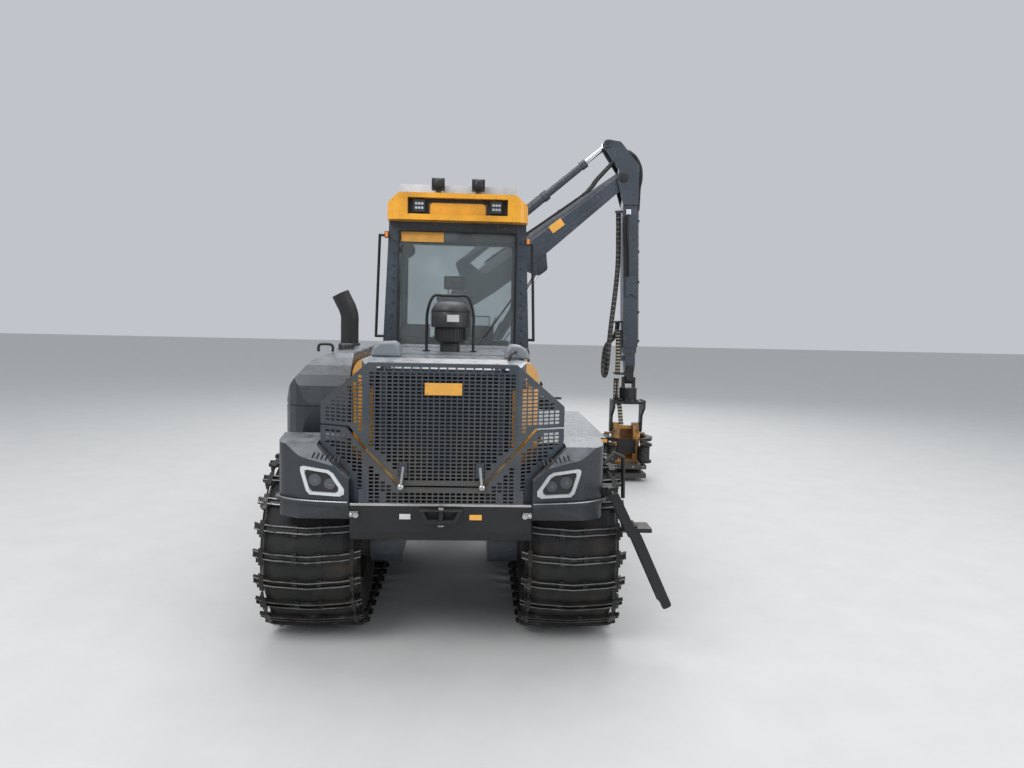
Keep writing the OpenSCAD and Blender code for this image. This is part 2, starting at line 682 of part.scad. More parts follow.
module cab_glass() {
  color([0.5, 0.6, 0.65, 0.4]) pane(glass_in) {
    union() {
      window_y(rear_window, seat_gap, cab_rear_y - 10, cab_rear_y + 120);
      window_y(front_window, seat_gap, cab_front_y - 180, cab_front_y + 10);
      window_x(side_window, seat_gap, cab_top_half - 100, cab_half + 10);
      window_x(quarter_window, seat_gap, -cab_half - 10, -cab_top_half + 100);
    }
  }
}
door_hinge_x = -cab_half - 26;
door_hinge_y = door_y1 - 20;
door_pin_r = 12;
module cab_door() {
  color(navy) {
    difference() {
      intersection() {
        difference() {
          cab_form(0);
          cab_form(cab_t - 10);
        }
        door_form(run_gap);
      }
      window_x(door_window, 0, -cab_half - 10, -cab_top_half + 200);
    }
    for (z = [1850, 2150]) difference() {
      block([door_hinge_x - 20, door_hinge_y - 50, z], [-cab_half + 60, door_hinge_y + 14, z + 50]);
      translate([door_hinge_x, door_hinge_y, z - 1])
        cylinder(h = 52, r = door_pin_r + pin_gap, $fn = small_fn);
    }
  }
}
module door_glass() {
  color([0.5, 0.6, 0.65, 0.4]) pane(glass_in)
    window_x(door_window, seat_gap, -cab_half - 10, -cab_top_half + 100);
}
module seat() {
  color(black) {
    translate([-40, 950, cab_floor_z + cab_t + seat_gap]) cylinder(h = 330, r = 110, $fn = big_fn);
    along_x([[700, 2040], [1200, 2040, 40], [1210, 2160, 50], [700, 2160, 40]], -300, 220);
    along_x([[640, 2150, 40], [760, 2150, 40], [720, 2820, 50], [600, 2820, 50]], -290, 210);
    along_x([[600, 2800], [700, 2800], [690, 3010, 40], [590, 3010, 40]], -180, 100);
  }
}
module console() {
  color(black) {
    translate([-40, 0, 0]) both_sides() block([300, 820, 2150], [430, 1300, 2230]);
    translate([-40, 0, 0]) both_sides() block([330, 850, cab_floor_z + cab_t + seat_gap], [400, 930, 2151]);
    block([-620, cab_rear_y + cab_t + 40, cab_floor_z + cab_t + seat_gap],
      [-200, cab_rear_y + 380, 2260]);
    block([180, cab_rear_y + cab_t + 40, cab_floor_z + cab_t + seat_gap],
      [620, cab_rear_y + 380, 2230]);
  }
}
roof_top_z = 3905;
module cab_roof() {
  color(yellow) difference() {
    intersection() {
      along_z([[-cab_top_half - 10, -70, 130], [cab_top_half + 10, -70, 130],
        [cab_top_half + 10, cab_front_y + 60, 130], [-cab_top_half - 10, cab_front_y + 60, 130]],
        cab_top_z + seat_gap, roof_top_z);
      along_y([[-cab_top_half - 11, cab_top_z - 1], [cab_top_half + 11, cab_top_z - 1],
        [cab_top_half + 11, roof_top_z - 120, 60], [cab_top_half - 140, roof_top_z + 1, 60],
        [-cab_top_half + 140, roof_top_z + 1, 60], [-cab_top_half - 11, roof_top_z - 120, 60]],
        -100, cab_front_y + 100);
    }
    // Lamp recess across the rear and front
    block([-570, -80, 3665], [570, 40, 3850]);
    block([-570, cab_front_y - 40, 3665], [570, cab_front_y + 80, 3850]);
  }
}
module roof_hatch() {
  color([0.75, 0.77, 0.8]) block([-680, 180, roof_top_z + seat_gap], [680, 1500, 4030]);
}
// Work lamps as [x, y, z, facing: -1 rear or 1 front]
lamps = [[-440, 0, 3760, -1], [440, 0, 3760, -1], [-440, cab_front_y, 3760, 1],
  [0, cab_front_y, 3760, 1], [440, cab_front_y, 3760, 1]];
module work_lamps() {
  color(black) {
    for (l = lamps) translate([l[0], l[1], l[2]]) block([-65, -39.5, -70], [65, 39.5, 70]);
    for (x = [-230, 230]) {
      translate([x, 60, roof_top_z + seat_gap]) cylinder(h = 60, r = 30, $fn = small_fn);
      along_x([[20, 3950], [110, 3950, 20], [110, 4090, 30], [20, 4090, 20]], x - 75, x + 75);
    }
  }
}
// Half width of the cab's outer wall at a height
function wall_x(z) = z < 2100 ?
  cab_low_half + (cab_half - cab_low_half) * (z - cab_floor_z) / (2100 - cab_floor_z) :
  cab_half - (cab_half - cab_top_half) * (z - 2100) / (cab_top_z - 2100);
rail_r = 17;
module side_rail(s, y, z0, z1, out) {
  tube_path([[s * (wall_x(z0 - rail_r) + seat_gap), y, z0], [s * (cab_half + out), y, z0],
    [s * (cab_half + out - 40), y, z1], [s * (wall_x(z1 - rail_r) + seat_gap), y, z1]], rail_r);
}
// Steps between the tracks, clear of the front one
step_y1 = bogie_y - wheel_half - pitch_r - shoe_h - 38;
step_y0 = step_y1 - 222;
module cab_access() {
  color(black) {
    for (y = [step_y0, step_y1 - 12]) block([-638, y, 560], [-560, y + 12, cab_base_z - seat_gap]);
    for (z = [575, 870, 1165]) block([-840, step_y0, z], [-560, step_y1, z + 30]);
    side_rail(1, 215, 2250, 3380, 60);
    side_rail(-1, 605, 2250, 3480, 140);
    // Pins that carry the door
    for (z = [1830, 2130]) {
      translate([door_hinge_x, door_hinge_y, z]) cylinder(h = 76, r = door_pin_r, $fn = small_fn);
      block([door_hinge_x - 14, door_hinge_y - 14, z - 30], [door_hinge_x + 14, door_y1 + 60, z]);
      block([door_hinge_x - 14, door_y1 + 8, z - 30],
        [-wall_x(min(z, 2100)) - seat_gap, door_y1 + 60, z]);
    }
  }
}

// Crane at rest, slewed to the right: its plane is the X-Z plane at crane_y
foot = [0, foot_z];
tip = foot + boom_l * [cos(boom_tilt), sin(boom_tilt)];
horn = tip + [-260, 490];
lift_low = [330, 1780];
lift_high = foot + 1250 * [cos(boom_tilt), sin(boom_tilt)] + 350 * [sin(boom_tilt), -cos(boom_tilt)];
jib_low = foot + 330 * [cos(boom_tilt), sin(boom_tilt)] + 420 * [-sin(boom_tilt), cos(boom_tilt)];
module in_crane(v0, v1) {
  translate([0, crane_y + v1, 0]) rotate([90, 0, 0]) linear_extrude(v1 - v0) children();
}
module crane_pin(p, r, v0, v1) {
  translate([p[0], crane_y + v1, p[1]]) rotate([90, 0, 0]) cylinder(h = v1 - v0, r = r, $fn = small_fn);
}
// A point at distance u along and w above a line that starts at p and rises by a degrees
function on_line(p, a, u, w) = p + u * [cos(a), sin(a)] + w * [-sin(a), cos(a)];
module crane_column() {
  color(navy) difference() {
    union() {
      translate([0, crane_y, turret_z + run_gap]) cylinder(h = 150, r = 400, $fn = big_fn);
      translate([0, crane_y, turret_z - 60]) cylinder(h = 100, r = 200, $fn = big_fn);
      translate([0, crane_y, turret_z + 150]) cylinder(h = 800, r = 260, $fn = big_fn);
      for (v = [-230, 170]) in_crane(v, v + 60) polygon(rounded([[-260, turret_z + 300],
        [420, turret_z + 150, 40], [420, turret_z + 480, 120], [200, 2350], [150, foot_z + 150, 140],
        [-150, foot_z + 150, 140], [-260, 2300]]));
    }
    crane_pin(foot, 50 + pin_gap, -400, 400);
    crane_pin(lift_low, 40 + pin_gap, -400, 400);
    // Recess for the lift cylinder when the boom is up
    block([200, crane_y - 105, turret_z + 200], [270, crane_y + 105, turret_z + 951]);
  }
}
boom_half = 110;
// Fold between the boom's side and its crown, as [along, above] the line of its pins
fold_start = [150, 76];
fold_drop = 0.46;
module crown_cut(s) {
  p = on_line(foot, boom_tilt, fold_start[0] - 400, fold_start[1] + 3);
  translate([p[0], crane_y, p[1]]) rotate([0, fold_drop - boom_tilt, 0])
    along_x([[s * (boom_half + 1), 0], [s * (boom_half + 1), 200], [s * 20, 200]], 0, boom_l + 600);
}
module boom() {
  color(navy) {
    difference() {
      in_crane(-boom_half, boom_half) polygon(rounded([
        on_line(foot, boom_tilt, -150, 0), concat(on_line(foot, boom_tilt, -120, -170), 100),
        on_line(foot, boom_tilt, 500, -225), on_line(foot, boom_tilt, 1500, -215),
        concat(on_line(foot, boom_tilt, boom_l + 110, -110), 100),
        concat(on_line(foot, boom_tilt, boom_l + 110, 110), 100),
        on_line(foot, boom_tilt, boom_l - 300, 130), on_line(foot, boom_tilt, 700, 210),
        concat(on_line(foot, boom_tilt, -60, 190), 100)]));
      crane_pin(tip, 45 + pin_gap, -400, 400);
      for (s = [-1, 1]) crown_cut(s);
    }
    crane_pin(foot, 50, -235, 235);
    difference() {
      for (v = [-boom_half, boom_half - 40]) in_crane(v, v + 40) polygon(rounded([
        on_line(foot, boom_tilt, 120, 60), on_line(foot, boom_tilt, 520, 60),
        concat(on_line(foot, boom_tilt, 400, 490), 60), concat(on_line(foot, boom_tilt, 260, 490), 60)]));
      crane_pin(jib_low, 35 + pin_gap, -400, 400);
    }
    for (v = [-100, 60]) in_crane(v, v + 40) polygon(rounded([on_line(foot, boom_tilt, 1020, -180),
      on_line(foot, boom_tilt, 1480, -180), concat(on_line(foot, boom_tilt, 1330, -425), 60),
      concat(on_line(foot, boom_tilt, 1170, -425), 60)]));
    for (v = [-115, 95]) crane_pin(lift_high, 45, v, v + 20);
  }
}
// Hydraulic cylinders: sleeve is the length of the barrel's thicker first part
module cylinder_barrel(from, to, l, r, rod_r, pin_r, half, sleeve) {
  a = atan2(to[1] - from[1], to[0] - from[0]);
  color(navy) difference() {
    union() {
      translate([from[0], crane_y, from[1]]) rotate([0, 90 - a, 0]) {
        translate([0, 0, 20]) cylinder(h = l - 20, r = r, $fn = big_fn);
        translate([0, 0, 20]) cylinder(h = sleeve - 20, r = r + 12, $fn = big_fn);
        translate([0, 0, sleeve - 60]) cylinder(h = 90, r = r + 26, $fn = big_fn);
        translate([0, 0, l - 90]) cylinder(h = 90, r = r + 12, $fn = big_fn);
      }
      crane_pin(from, pin_r + 30, -half, half);
    }
    translate([from[0], crane_y, from[1]]) rotate([0, 90 - a, 0]) {
      translate([0, 0, pin_r + 60]) cylinder(h = l - pin_r - 120, r = r - 18, $fn = big_fn);
      translate([0, 0, pin_r + 61]) cylinder(h = l, r = rod_r + pin_gap, $fn = big_fn);
    }
  }
}
module cylinder_rod(from, to, start, r, pin_r, half) {
  a = atan2(to[1] - from[1], to[0] - from[0]);
  d = norm(to - from);
  color([0.8, 0.8, 0.8]) difference() {
    union() {
      translate([from[0], crane_y, from[1]]) rotate([0, 90 - a, 0]) translate([0, 0, start])
        cylinder(h = d - start - pin_r, r = r, $fn = big_fn);
      crane_pin(to, pin_r + 26, -half, half);
    }
    crane_pin(to, pin_r + 4, -half - 1, half + 1);
  }
}
lift_barrel_l = 1050;
jib_barrel_l = 2430;
module lift_barrel() {
  cylinder_barrel(lift_low, lift_high, lift_barrel_l, 76, 45, 40, 60, 120);
  color(navy) crane_pin(lift_low, 40, -235, 235);
}
module lift_rod() cylinder_rod(lift_low, lift_high, 500, 45, 35, 50);
module stick_barrel() {
  cylinder_barrel(jib_low, horn, jib_barrel_l, 58, 38, 35, 60, 1650);
  color(navy) crane_pin(jib_low, 35, -112, 112);
}
module stick_rod() cylinder_rod(jib_low, horn, 900, 38, 35, 50);

stick_dir = [sin(stick_lean), -cos(stick_lean)];
stick_out = [cos(stick_lean), sin(stick_lean)];
function on_stick(down, out) = tip + down * stick_dir + out * stick_out;
stick_mid = 112;
module stick_box(down0, down1, d, w) {
  translate([tip[0], crane_y, tip[1]]) rotate([0, -stick_lean, 0])
    translate([stick_mid - d / 2, -w / 2, -down1]) cube([d, w, down1 - down0]);
}
wall = 16;
stick_top = 400;
plate_t = 40;
plate_out = boom_half + run_gap + plate_t;
function slanted_top(low) = [on_stick(low, stick_mid - stick_d / 2), on_stick(low, stick_mid + stick_d / 2),
  on_stick(150, stick_mid + stick_d / 2), on_stick(150, stick_mid), on_stick(290, stick_mid - stick_d / 2)];
module stick() {
  color(navy) {
    difference() {
      union() {
        // Its slanted top clears the boom when the stick folds in
        in_crane(-stick_w / 2, stick_w / 2) polygon(slanted_top(stick_l));
        stick_box(stick_top - 90, stick_top - 10, stick_d - 30, 2 * plate_out - plate_t);
      }
      stick_box(stick_top + 40, stick_l + 1, stick_d - 2 * wall, stick_w - 2 * wall);
    }
    // Knuckle plates with the horn that the cylinder pushes
    for (v = [-plate_out, boom_half + run_gap]) {
      in_crane(v, v + plate_t) polygon(rounded([
        concat(horn + [-60, -20], 50), concat(horn + [-10, 70], 60), concat(horn + [200, 40], 60),
        concat(tip + [235, 190], 60), on_stick(stick_top, stick_mid + stick_d / 2),
        on_stick(stick_top, stick_mid - stick_d / 2), concat(tip + [-90, -60], 60),
        concat(tip + [-80, 120], 60)]));
    }
    crane_pin(tip, 45, -plate_out + 2, plate_out - 2);
    for (v = [-plate_out - 14, plate_out - 6]) crane_pin(horn, 50, v, v + 20);
    // Clamps that hold both ends of the hanging hoses
    for (c = hose_clamps) hose_clamp(c[0], c[1], -104, stick_mid - stick_d / 2 + 2);
  }
}
// Hoses: a bundle hangs in a loop beside the stick, and a wrapped one runs to the head
loop_r = 40;
head_hose_r = 42;
clamp_t = 30;
clamp_half = 46;
// Each clamp as [distance down the stick, distance to its side]
hose_clamps = [[500, 0], [2180, 80]];
module hose_clamp(down, side, out0, out1) {
  in_crane(side - clamp_half, side + clamp_half) polygon([on_stick(down - clamp_t, out0),
    on_stick(down, out0), on_stick(down, out1), on_stick(down - clamp_t, out1)]);
}
hose_loop_points = [[2384, 2900, 4139], [2391, 2900, 3940], [2397, 2899, 3740], [2402, 2896, 3540],
  [2400, 2888, 3340], [2387, 2868, 3140], [2366, 2834, 2945], [2341, 2790, 2750],
  [2313, 2740, 2555], [2288, 2692, 2360], [2267, 2652, 2170], [2252, 2624, 2030],
  [2246, 2616, 1930], [2243, 2640, 1818], [2243, 2704, 1724], [2246, 2798, 1661],
  [2251, 2908, 1640], [2258, 3018, 1661], [2266, 3112, 1724], [2276, 3176, 1818],
  [2288, 3200, 1930], [2297, 3187, 2028], [2324, 3148, 2114], [2366, 3088, 2178],
  [2407, 3028, 2241], [2434, 2990, 2327], [2444, 2980, 2425], [2443, 2980, 2460]];
head_hose_points = [[2445, 2900, 2320], [2446, 2900, 2275], [2448, 2900, 2230], [2450, 2900, 2185],
  [2451, 2900, 2140], [2453, 2900, 2095], [2454, 2900, 2050], [2455, 2900, 2005], [2456, 2900, 1960],
  [2457, 2900, 1915], [2457, 2900, 1870], [2456, 2900, 1825], [2455, 2900, 1780], [2455, 2900, 1735],
  [2455, 2900, 1691]];
// A tube with one ring of corners round each point of its route
function ring(p, t, r, n) =
  let (u = unit(cross(t, [1, 0, 0])), w = cross(t, u))
  [for (k = [0:n - 1]) p + r * (cos(360 * k / n) * u + sin(360 * k / n) * w)];
function heading(pts, i) = unit(pts[min(i + 1, len(pts) - 1)] - pts[max(i - 1, 0)]);
module hose(pts, r, n = 12) {
  last = len(pts) - 1;
  polyhedron(
    points = [for (i = [0:last]) each ring(pts[i], heading(pts, i), r, n)],
    faces = concat(
      [[for (k = [0:n - 1]) k]],
      [for (i = [0:last - 1]) for (k = [0:n - 1])
        [i * n + k, (i + 1) * n + k, (i + 1) * n + (k + 1) % n, i * n + (k + 1) % n]],
      [[for (k = [n - 1:-1:0]) last * n + k]]));
}
module hose_loop() color(black) hose(hose_loop_points, loop_r);
module head_hose() color([0.75, 0.7, 0.5]) hose(head_hose_points, head_hose_r);
tele_gap = 0.3;
outer_d = stick_d - 2 * wall - 2 * tele_gap;
outer_w = stick_w - 2 * wall - 2 * tele_gap;
inner_d = outer_d - 2 * wall - 2 * tele_gap;
inner_w = outer_w - 2 * wall - 2 * tele_gap;
tele_top = 640;
tele_outer_end = stick_l + 90;
tele_inner_end = stick_l + 280;
module telescope_outer() {
  color([0.12, 0.14, 0.17]) difference() {
    stick_box(tele_top, tele_outer_end, outer_d, outer_w);
    stick_box(tele_top - 1, tele_outer_end + 1, outer_d - 2 * wall, outer_w - 2 * wall);
  }
}
hang_pin = tip + (tele_inner_end + 60) * stick_dir + stick_mid * stick_out;
module telescope_inner() {
  color([0.12, 0.14, 0.17]) {
    stick_box(tele_top + 60, tele_inner_end, inner_d, inner_w);
    difference() {
      in_crane(-70, 70) polygon(rounded([concat(hang_pin + [-70, -70], 60),
        concat(hang_pin + [70, -70], 60), on_stick(tele_inner_end - 40, stick_mid + 80),
        on_stick(tele_inner_end - 40, stick_mid - 80)]));
      crane_pin(hang_pin, 30 + pin_gap, -100, 100);
    }
    // Strip that carries the head hose's clamp up beside the stick
    edge = stick_mid - stick_d / 2 - run_gap;
    in_crane(-clamp_half, clamp_half) polygon([on_stick(head_clamp - clamp_t, edge - 5),
      on_stick(tele_inner_end - 70, edge - 5),
      on_stick(tele_inner_end - 70, stick_mid - inner_d / 2 + 2),
      on_stick(tele_outer_end + 40, stick_mid - inner_d / 2 + 2),
      on_stick(tele_outer_end + 40, edge),
      on_stick(head_clamp - clamp_t, edge)]);
    hose_clamp(head_clamp, 0, edge - 5 - 2 * head_hose_r - 4, edge);
  }
}
head_clamp = 2320;

// Hanger, rotator and head: the head stands upright under the rotator
head_x = hang_pin[0];
link_z = hang_pin[1];
cross_z = link_z - 150;
module hanger_link() {
  color(black) difference() {
    union() {
      for (v = [-110, 76]) in_crane(v, v + 34) polygon(rounded([
        [head_x - 55, link_z + 55, 50], [head_x + 55, link_z + 55, 50],
        [head_x + 55, cross_z - 10], [head_x - 55, cross_z - 10]]));
      block([head_x - 55, crane_y - 110, cross_z - 10], [head_x + 55, crane_y + 110, link_z - 80]);
      crane_pin([head_x, link_z], 30, -112, 112);
      rod_x(head_x - 55, head_x + 55, 60, crane_y, rotator_top);
      // Shelf that the head hose ends on
      block([head_x - 224, crane_y - 110, shelf_z - 30], [head_x - 87, crane_y + 110, shelf_z]);
      for (v = [-110, 76])
        block([head_x - 90, crane_y + v, shelf_z - 30], [head_x - 53, crane_y + v + 34, shelf_z]);
    }
    rod_x(head_x - 56, head_x + 56, 28 + pin_gap, crane_y, rotator_top);
  }
}
rotator_top = cross_z - 20;
shelf_z = link_z - 56;
rotator_low = rotator_top - 300;
module rotator() {
  color(black) {
    for (x = [head_x - 100, head_x + 62])
      block([x, crane_y - 55, rotator_top - 130], [x + 38, crane_y + 55, rotator_top + 45]);
    rod_x(head_x - 102, head_x + 102, 28, crane_y, rotator_top);
    translate([head_x, crane_y, rotator_low]) cylinder(h = 180, r = 135, $fn = big_fn);
    translate([head_x, crane_y, rotator_low - 60]) cylinder(h = 61, r = 45, $fn = big_fn);
  }
}
yoke_top = rotator_low - run_gap;
tilt_z = yoke_top - 460;
tilt_y = crane_y + 120;
yoke_x = 236;
riser_x = 190;
module tilt_yoke() {
  color(black) difference() {
    union() {
      translate([head_x, crane_y, yoke_top - 60]) cylinder(h = 60, r = 170, $fn = big_fn);
      for (s = [-1, 1]) translate([head_x, 0, 0]) difference() {
        along_x([[crane_y - 150, yoke_top - 1], [tilt_y + 50, yoke_top - 1, 40],
          [tilt_y + 50, tilt_z + 120], [tilt_y + 70, tilt_z - 70, 65],
          [tilt_y - 70, tilt_z - 70, 65], [tilt_y - 90, yoke_top - 260],
          [crane_y - 150, yoke_top - 120]], s * yoke_x - 18, s * yoke_x + 18);
        rod_x(s * yoke_x - 30, s * yoke_x + 30, 35 + pin_gap, tilt_y, tilt_z);
      }
      block([head_x - yoke_x, crane_y - 150, yoke_top - 60],
        [head_x + yoke_x, crane_y + 120, yoke_top - 20]);
      // Riser for the hoses, clear of the rotator as it turns
      translate([head_x - riser_x, crane_y, yoke_top - 50])
        cylinder(h = rotator_top + 20 - yoke_top + 50, r = head_hose_r, $fn = small_fn);
    }
    translate([head_x, crane_y, yoke_top - 61]) cylinder(h = 70, r = 45 + pin_gap, $fn = big_fn);
  }
}
head_h = 750;
head_low = tilt_z - head_h;
head_y0 = crane_y - 60;
head_top = tilt_z + 40;
// Upright pins that carry the roller arms and the knives
claw_pin_x = 285;
claw_pin_y = tilt_y + 50;
claw_pin_r = 16;
arm_z0 = head_low + 270;
arm_z1 = head_low + 490;
arm_t = 40;
knife_z = head_low + 590;
knife_t = 50;
lug_t = 20;
saw_z = head_low + 105;
saw_pivot = [-210, tilt_y - 20];
post_in = 108;
post_out = 204;
saw_half = 290;
module claw_lug(s, z) {
  along_z([[s * (post_out - 4), claw_pin_y - 45], [s * (post_out - 4), claw_pin_y + 45],
    [s * (claw_pin_x + 40), claw_pin_y + 45, 38], [s * (claw_pin_x + 40), claw_pin_y - 45, 38]],
    z, z + lug_t);
}
module head_frame() {
  color(yellow) translate([head_x, 0, 0]) {
    // Back beam and its two side plates
    difference() {
      block([-200, head_y0 + 60, head_low + 200], [200, tilt_y + 130, head_top - 60]);
      block([-160, head_y0 + 40, head_low + 260], [160, tilt_y + 90, head_top + 1]);
    }
    for (s = [-1, 1]) {
      along_x([[head_y0 + 60, head_low + 260],
        [tilt_y + 120, head_low + 260], [tilt_y + 120, head_top - 100, 40],
        [tilt_y + 60, head_top + 40, 60], [tilt_y - 60, head_top + 40, 60],
        [head_y0 + 60, head_top - 120]], min(s * post_in, s * post_out), max(s * post_in, s * post_out));
      translate([s * claw_pin_x, claw_pin_y, arm_z0 - arm_t - run_gap - lug_t])
        cylinder(h = knife_z - arm_z0 + knife_t + arm_t + 2 * run_gap + 2 * lug_t,
          r = claw_pin_r, $fn = small_fn);
      for (z = [arm_z0 - arm_t - run_gap - lug_t, arm_z1 + arm_t + run_gap,
                knife_z - run_gap - lug_t, knife_z + knife_t + run_gap]) claw_lug(s, z);
    }
    rod_x(-yoke_x - 22, yoke_x + 22, 35, tilt_y, tilt_z);
    // Saw box at the foot
    difference() {
      block([-saw_half, head_y0 - 140, head_low], [saw_half, tilt_y + 130, head_low + 202]);
      block([30 - saw_half, head_y0 - 160, head_low + 70], [saw_half + 10, tilt_y + 60, head_low + 140]);
    }
    translate([saw_pivot[0], saw_pivot[1], head_low + 60]) cylinder(h = 90, r = 18, $fn = small_fn);
  }
}
module saw_bar() {
  color(steel) translate([head_x, 0, 0]) difference() {
    along_z([[saw_pivot[0] - 45, saw_pivot[1] + 45, 40], [saw_pivot[0] - 45, saw_pivot[1] - 45, 40],
      [260, saw_pivot[1] - 35, 30], [260, saw_pivot[1] + 35, 30]], saw_z - 8, saw_z + 8);
    translate([saw_pivot[0], saw_pivot[1], saw_z - 9])
      cylinder(h = 18, r = 18 + pin_gap, $fn = small_fn);
  }
}
roller_x = 250;
roller_y = head_y0 - 75;
module roller_arm(s) {
  color(yellow) translate([head_x, 0, 0]) {
    for (z = [arm_z0 - arm_t, arm_z1]) difference() {
      along_z([[s * (claw_pin_x - 35), claw_pin_y + 38, 30], [s * (claw_pin_x + 45), claw_pin_y + 38, 30],
        [s * 390, roller_y + 20, 40], [s * 310, roller_y - 60, 50], [s * 200, roller_y - 50, 30],
        [s * 200, roller_y + 40, 30], [s * 285, claw_pin_y - 140, 60],
        [s * (claw_pin_x - 35), claw_pin_y - 38, 30]], z, z + arm_t);
      translate([s * claw_pin_x, claw_pin_y, z - 1])
        cylinder(h = arm_t + 2, r = claw_pin_r + pin_gap, $fn = small_fn);
      translate([s * roller_x, roller_y, z - 1])
        cylinder(h = arm_t + 2, r = 22 + pin_gap, $fn = small_fn);
    }
    block([min(s * 318, s * 348), claw_pin_y - 150, arm_z0 - 1],
      [max(s * 318, s * 348), claw_pin_y - 60, arm_z1 + 1]);
  }
}
module roller_arm_left() roller_arm(-1);
module roller_arm_right() roller_arm(1);
module feed_roller(s) {
  color(black) translate([head_x + s * roller_x, roller_y, 0]) {
    translate([0, 0, arm_z0 + run_gap])
      cylinder(h = arm_z1 - arm_z0 - 2 * run_gap, r = 95, $fn = big_fn);
    translate([0, 0, arm_z0 - arm_t]) cylinder(h = arm_z1 - arm_z0 + 2 * arm_t, r = 22, $fn = small_fn);
  }
}
module feed_roller_left() feed_roller(-1);
module feed_roller_right() feed_roller(1);
module knife(s) {
  color(black) translate([head_x, 0, 0]) difference() {
    along_z([[s * (claw_pin_x - 38), claw_pin_y + 36, 30], [s * (claw_pin_x + 42), claw_pin_y + 36, 30],
      [s * 400, tilt_y - 190, 90], [s * 330, head_y0 - 190, 80], [s * 150, head_y0 - 270, 8],
      [s * 262, head_y0 - 120, 60], [s * 300, tilt_y - 190, 90],
      [s * (claw_pin_x - 38), claw_pin_y - 40, 30]], knife_z, knife_z + knife_t);
    translate([s * claw_pin_x, claw_pin_y, knife_z - 1])
      cylinder(h = knife_t + 2, r = claw_pin_r + pin_gap, $fn = small_fn);
  }
}
module knife_left() knife(-1);
module knife_right() knife(1);

module placed() {
  translate([-middle_x, -middle_y, 0]) children();
}
placed() rear_frame();
placed() rear_axle();
placed() rear_tyres();
placed() rear_rims();
placed() rear_tracks();
placed() engine();
placed() radiator();
placed() hood_top();
placed() hood_sides();
placed() fuel_tank();
placed() side_box();
placed() rear_fenders();
placed() rear_lamps();
placed() guard_door();
placed() guard_apron();
placed() rear_bumper();
placed() exhaust();
placed() precleaner();
placed() ladder();
placed() rear_rail();
placed() front_frame();
placed() front_axle();
placed() front_tyres();
placed() front_rims();
placed() front_tracks();
placed() front_guard();
placed() cab_base();
placed() cab_shell();
placed() cab_glass();
placed() cab_door();
placed() door_glass();
placed() seat();
placed() console();
placed() cab_roof();
placed() roof_hatch();
placed() work_lamps();
placed() cab_access();
placed() crane_column();
placed() boom();
placed() lift_barrel();
placed() lift_rod();
placed() stick();
placed() stick_barrel();
placed() stick_rod();
placed() hose_loop();
placed() telescope_outer();
placed() telescope_inner();
placed() head_hose();
placed() hanger_link();
placed() rotator();
placed() tilt_yoke();
placed() head_frame();
placed() saw_bar();
placed() roller_arm_left();
placed() roller_arm_right();
placed() feed_roller_left();
placed() feed_roller_right();
placed() knife_left();
placed() knife_right();
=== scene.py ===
import json
import math

import bmesh
import bpy
from mathutils import Matrix, Vector


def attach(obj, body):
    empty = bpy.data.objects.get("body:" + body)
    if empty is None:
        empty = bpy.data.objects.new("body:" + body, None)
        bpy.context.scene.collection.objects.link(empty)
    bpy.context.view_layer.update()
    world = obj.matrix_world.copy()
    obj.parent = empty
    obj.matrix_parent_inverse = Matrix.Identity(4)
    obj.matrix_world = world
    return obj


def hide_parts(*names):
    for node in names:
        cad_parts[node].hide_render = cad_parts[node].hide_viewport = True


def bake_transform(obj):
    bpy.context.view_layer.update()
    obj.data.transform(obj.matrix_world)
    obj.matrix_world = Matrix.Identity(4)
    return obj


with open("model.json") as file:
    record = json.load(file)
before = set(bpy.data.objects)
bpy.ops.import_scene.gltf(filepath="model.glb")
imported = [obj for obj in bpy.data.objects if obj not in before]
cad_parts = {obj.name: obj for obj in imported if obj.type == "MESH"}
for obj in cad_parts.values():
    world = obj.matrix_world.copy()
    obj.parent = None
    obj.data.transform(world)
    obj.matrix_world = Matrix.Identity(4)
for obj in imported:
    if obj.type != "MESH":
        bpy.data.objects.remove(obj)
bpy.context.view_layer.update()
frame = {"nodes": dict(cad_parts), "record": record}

# Places are in machine millimetres: X right, Y forward and Z up from the ground under the steering pivot
ORIGIN = Vector((830, 45, 0))
UP, AHEAD, BACK = (0, 0, 1), (0, 1, 0), (0, -1, 0)
REAR, FRONT = "rear_body", "front_body"


def row(place):
    """A place on the machine as a point of the row frame, in metres."""
    return (Vector(place) - ORIGIN) / 1000


# Camera at the photograph's view
IMAGE_W = 1024
FOCAL_PX = 770
CAMERA_PLACE = (210, -8990, 2540)
CAMERA_YAW, CAMERA_PITCH, CAMERA_ROLL = (math.radians(a) for a in (2.9, -5.1, 1.3))


def make_camera():
    camera = bpy.data.objects.new("camera", bpy.data.cameras.new("camera"))
    camera.data.sensor_width = 36
    camera.data.lens = 36 * FOCAL_PX / IMAGE_W
    camera.data.clip_end = 200
    ahead = Vector((math.sin(CAMERA_YAW) * math.cos(CAMERA_PITCH),
                    math.cos(CAMERA_YAW) * math.cos(CAMERA_PITCH), math.sin(CAMERA_PITCH)))
    level = Vector((math.cos(CAMERA_YAW), -math.sin(CAMERA_YAW), 0))
    above = level.cross(ahead)
    right = level * math.cos(CAMERA_ROLL) + above * math.sin(CAMERA_ROLL)
    up = above * math.cos(CAMERA_ROLL) - level * math.sin(CAMERA_ROLL)
    turn = Matrix((right, up, -ahead)).transposed().to_4x4()
    camera.matrix_world = Matrix.Translation(row(CAMERA_PLACE)) @ turn
    bpy.context.scene.collection.objects.link(camera)
    bpy.context.scene.camera = camera


make_camera()


# Materials

MATERIALS = {}
MIX_A, MIX_B, MIX_RESULT = 6, 7, 2  # the colour sockets of a Mix node


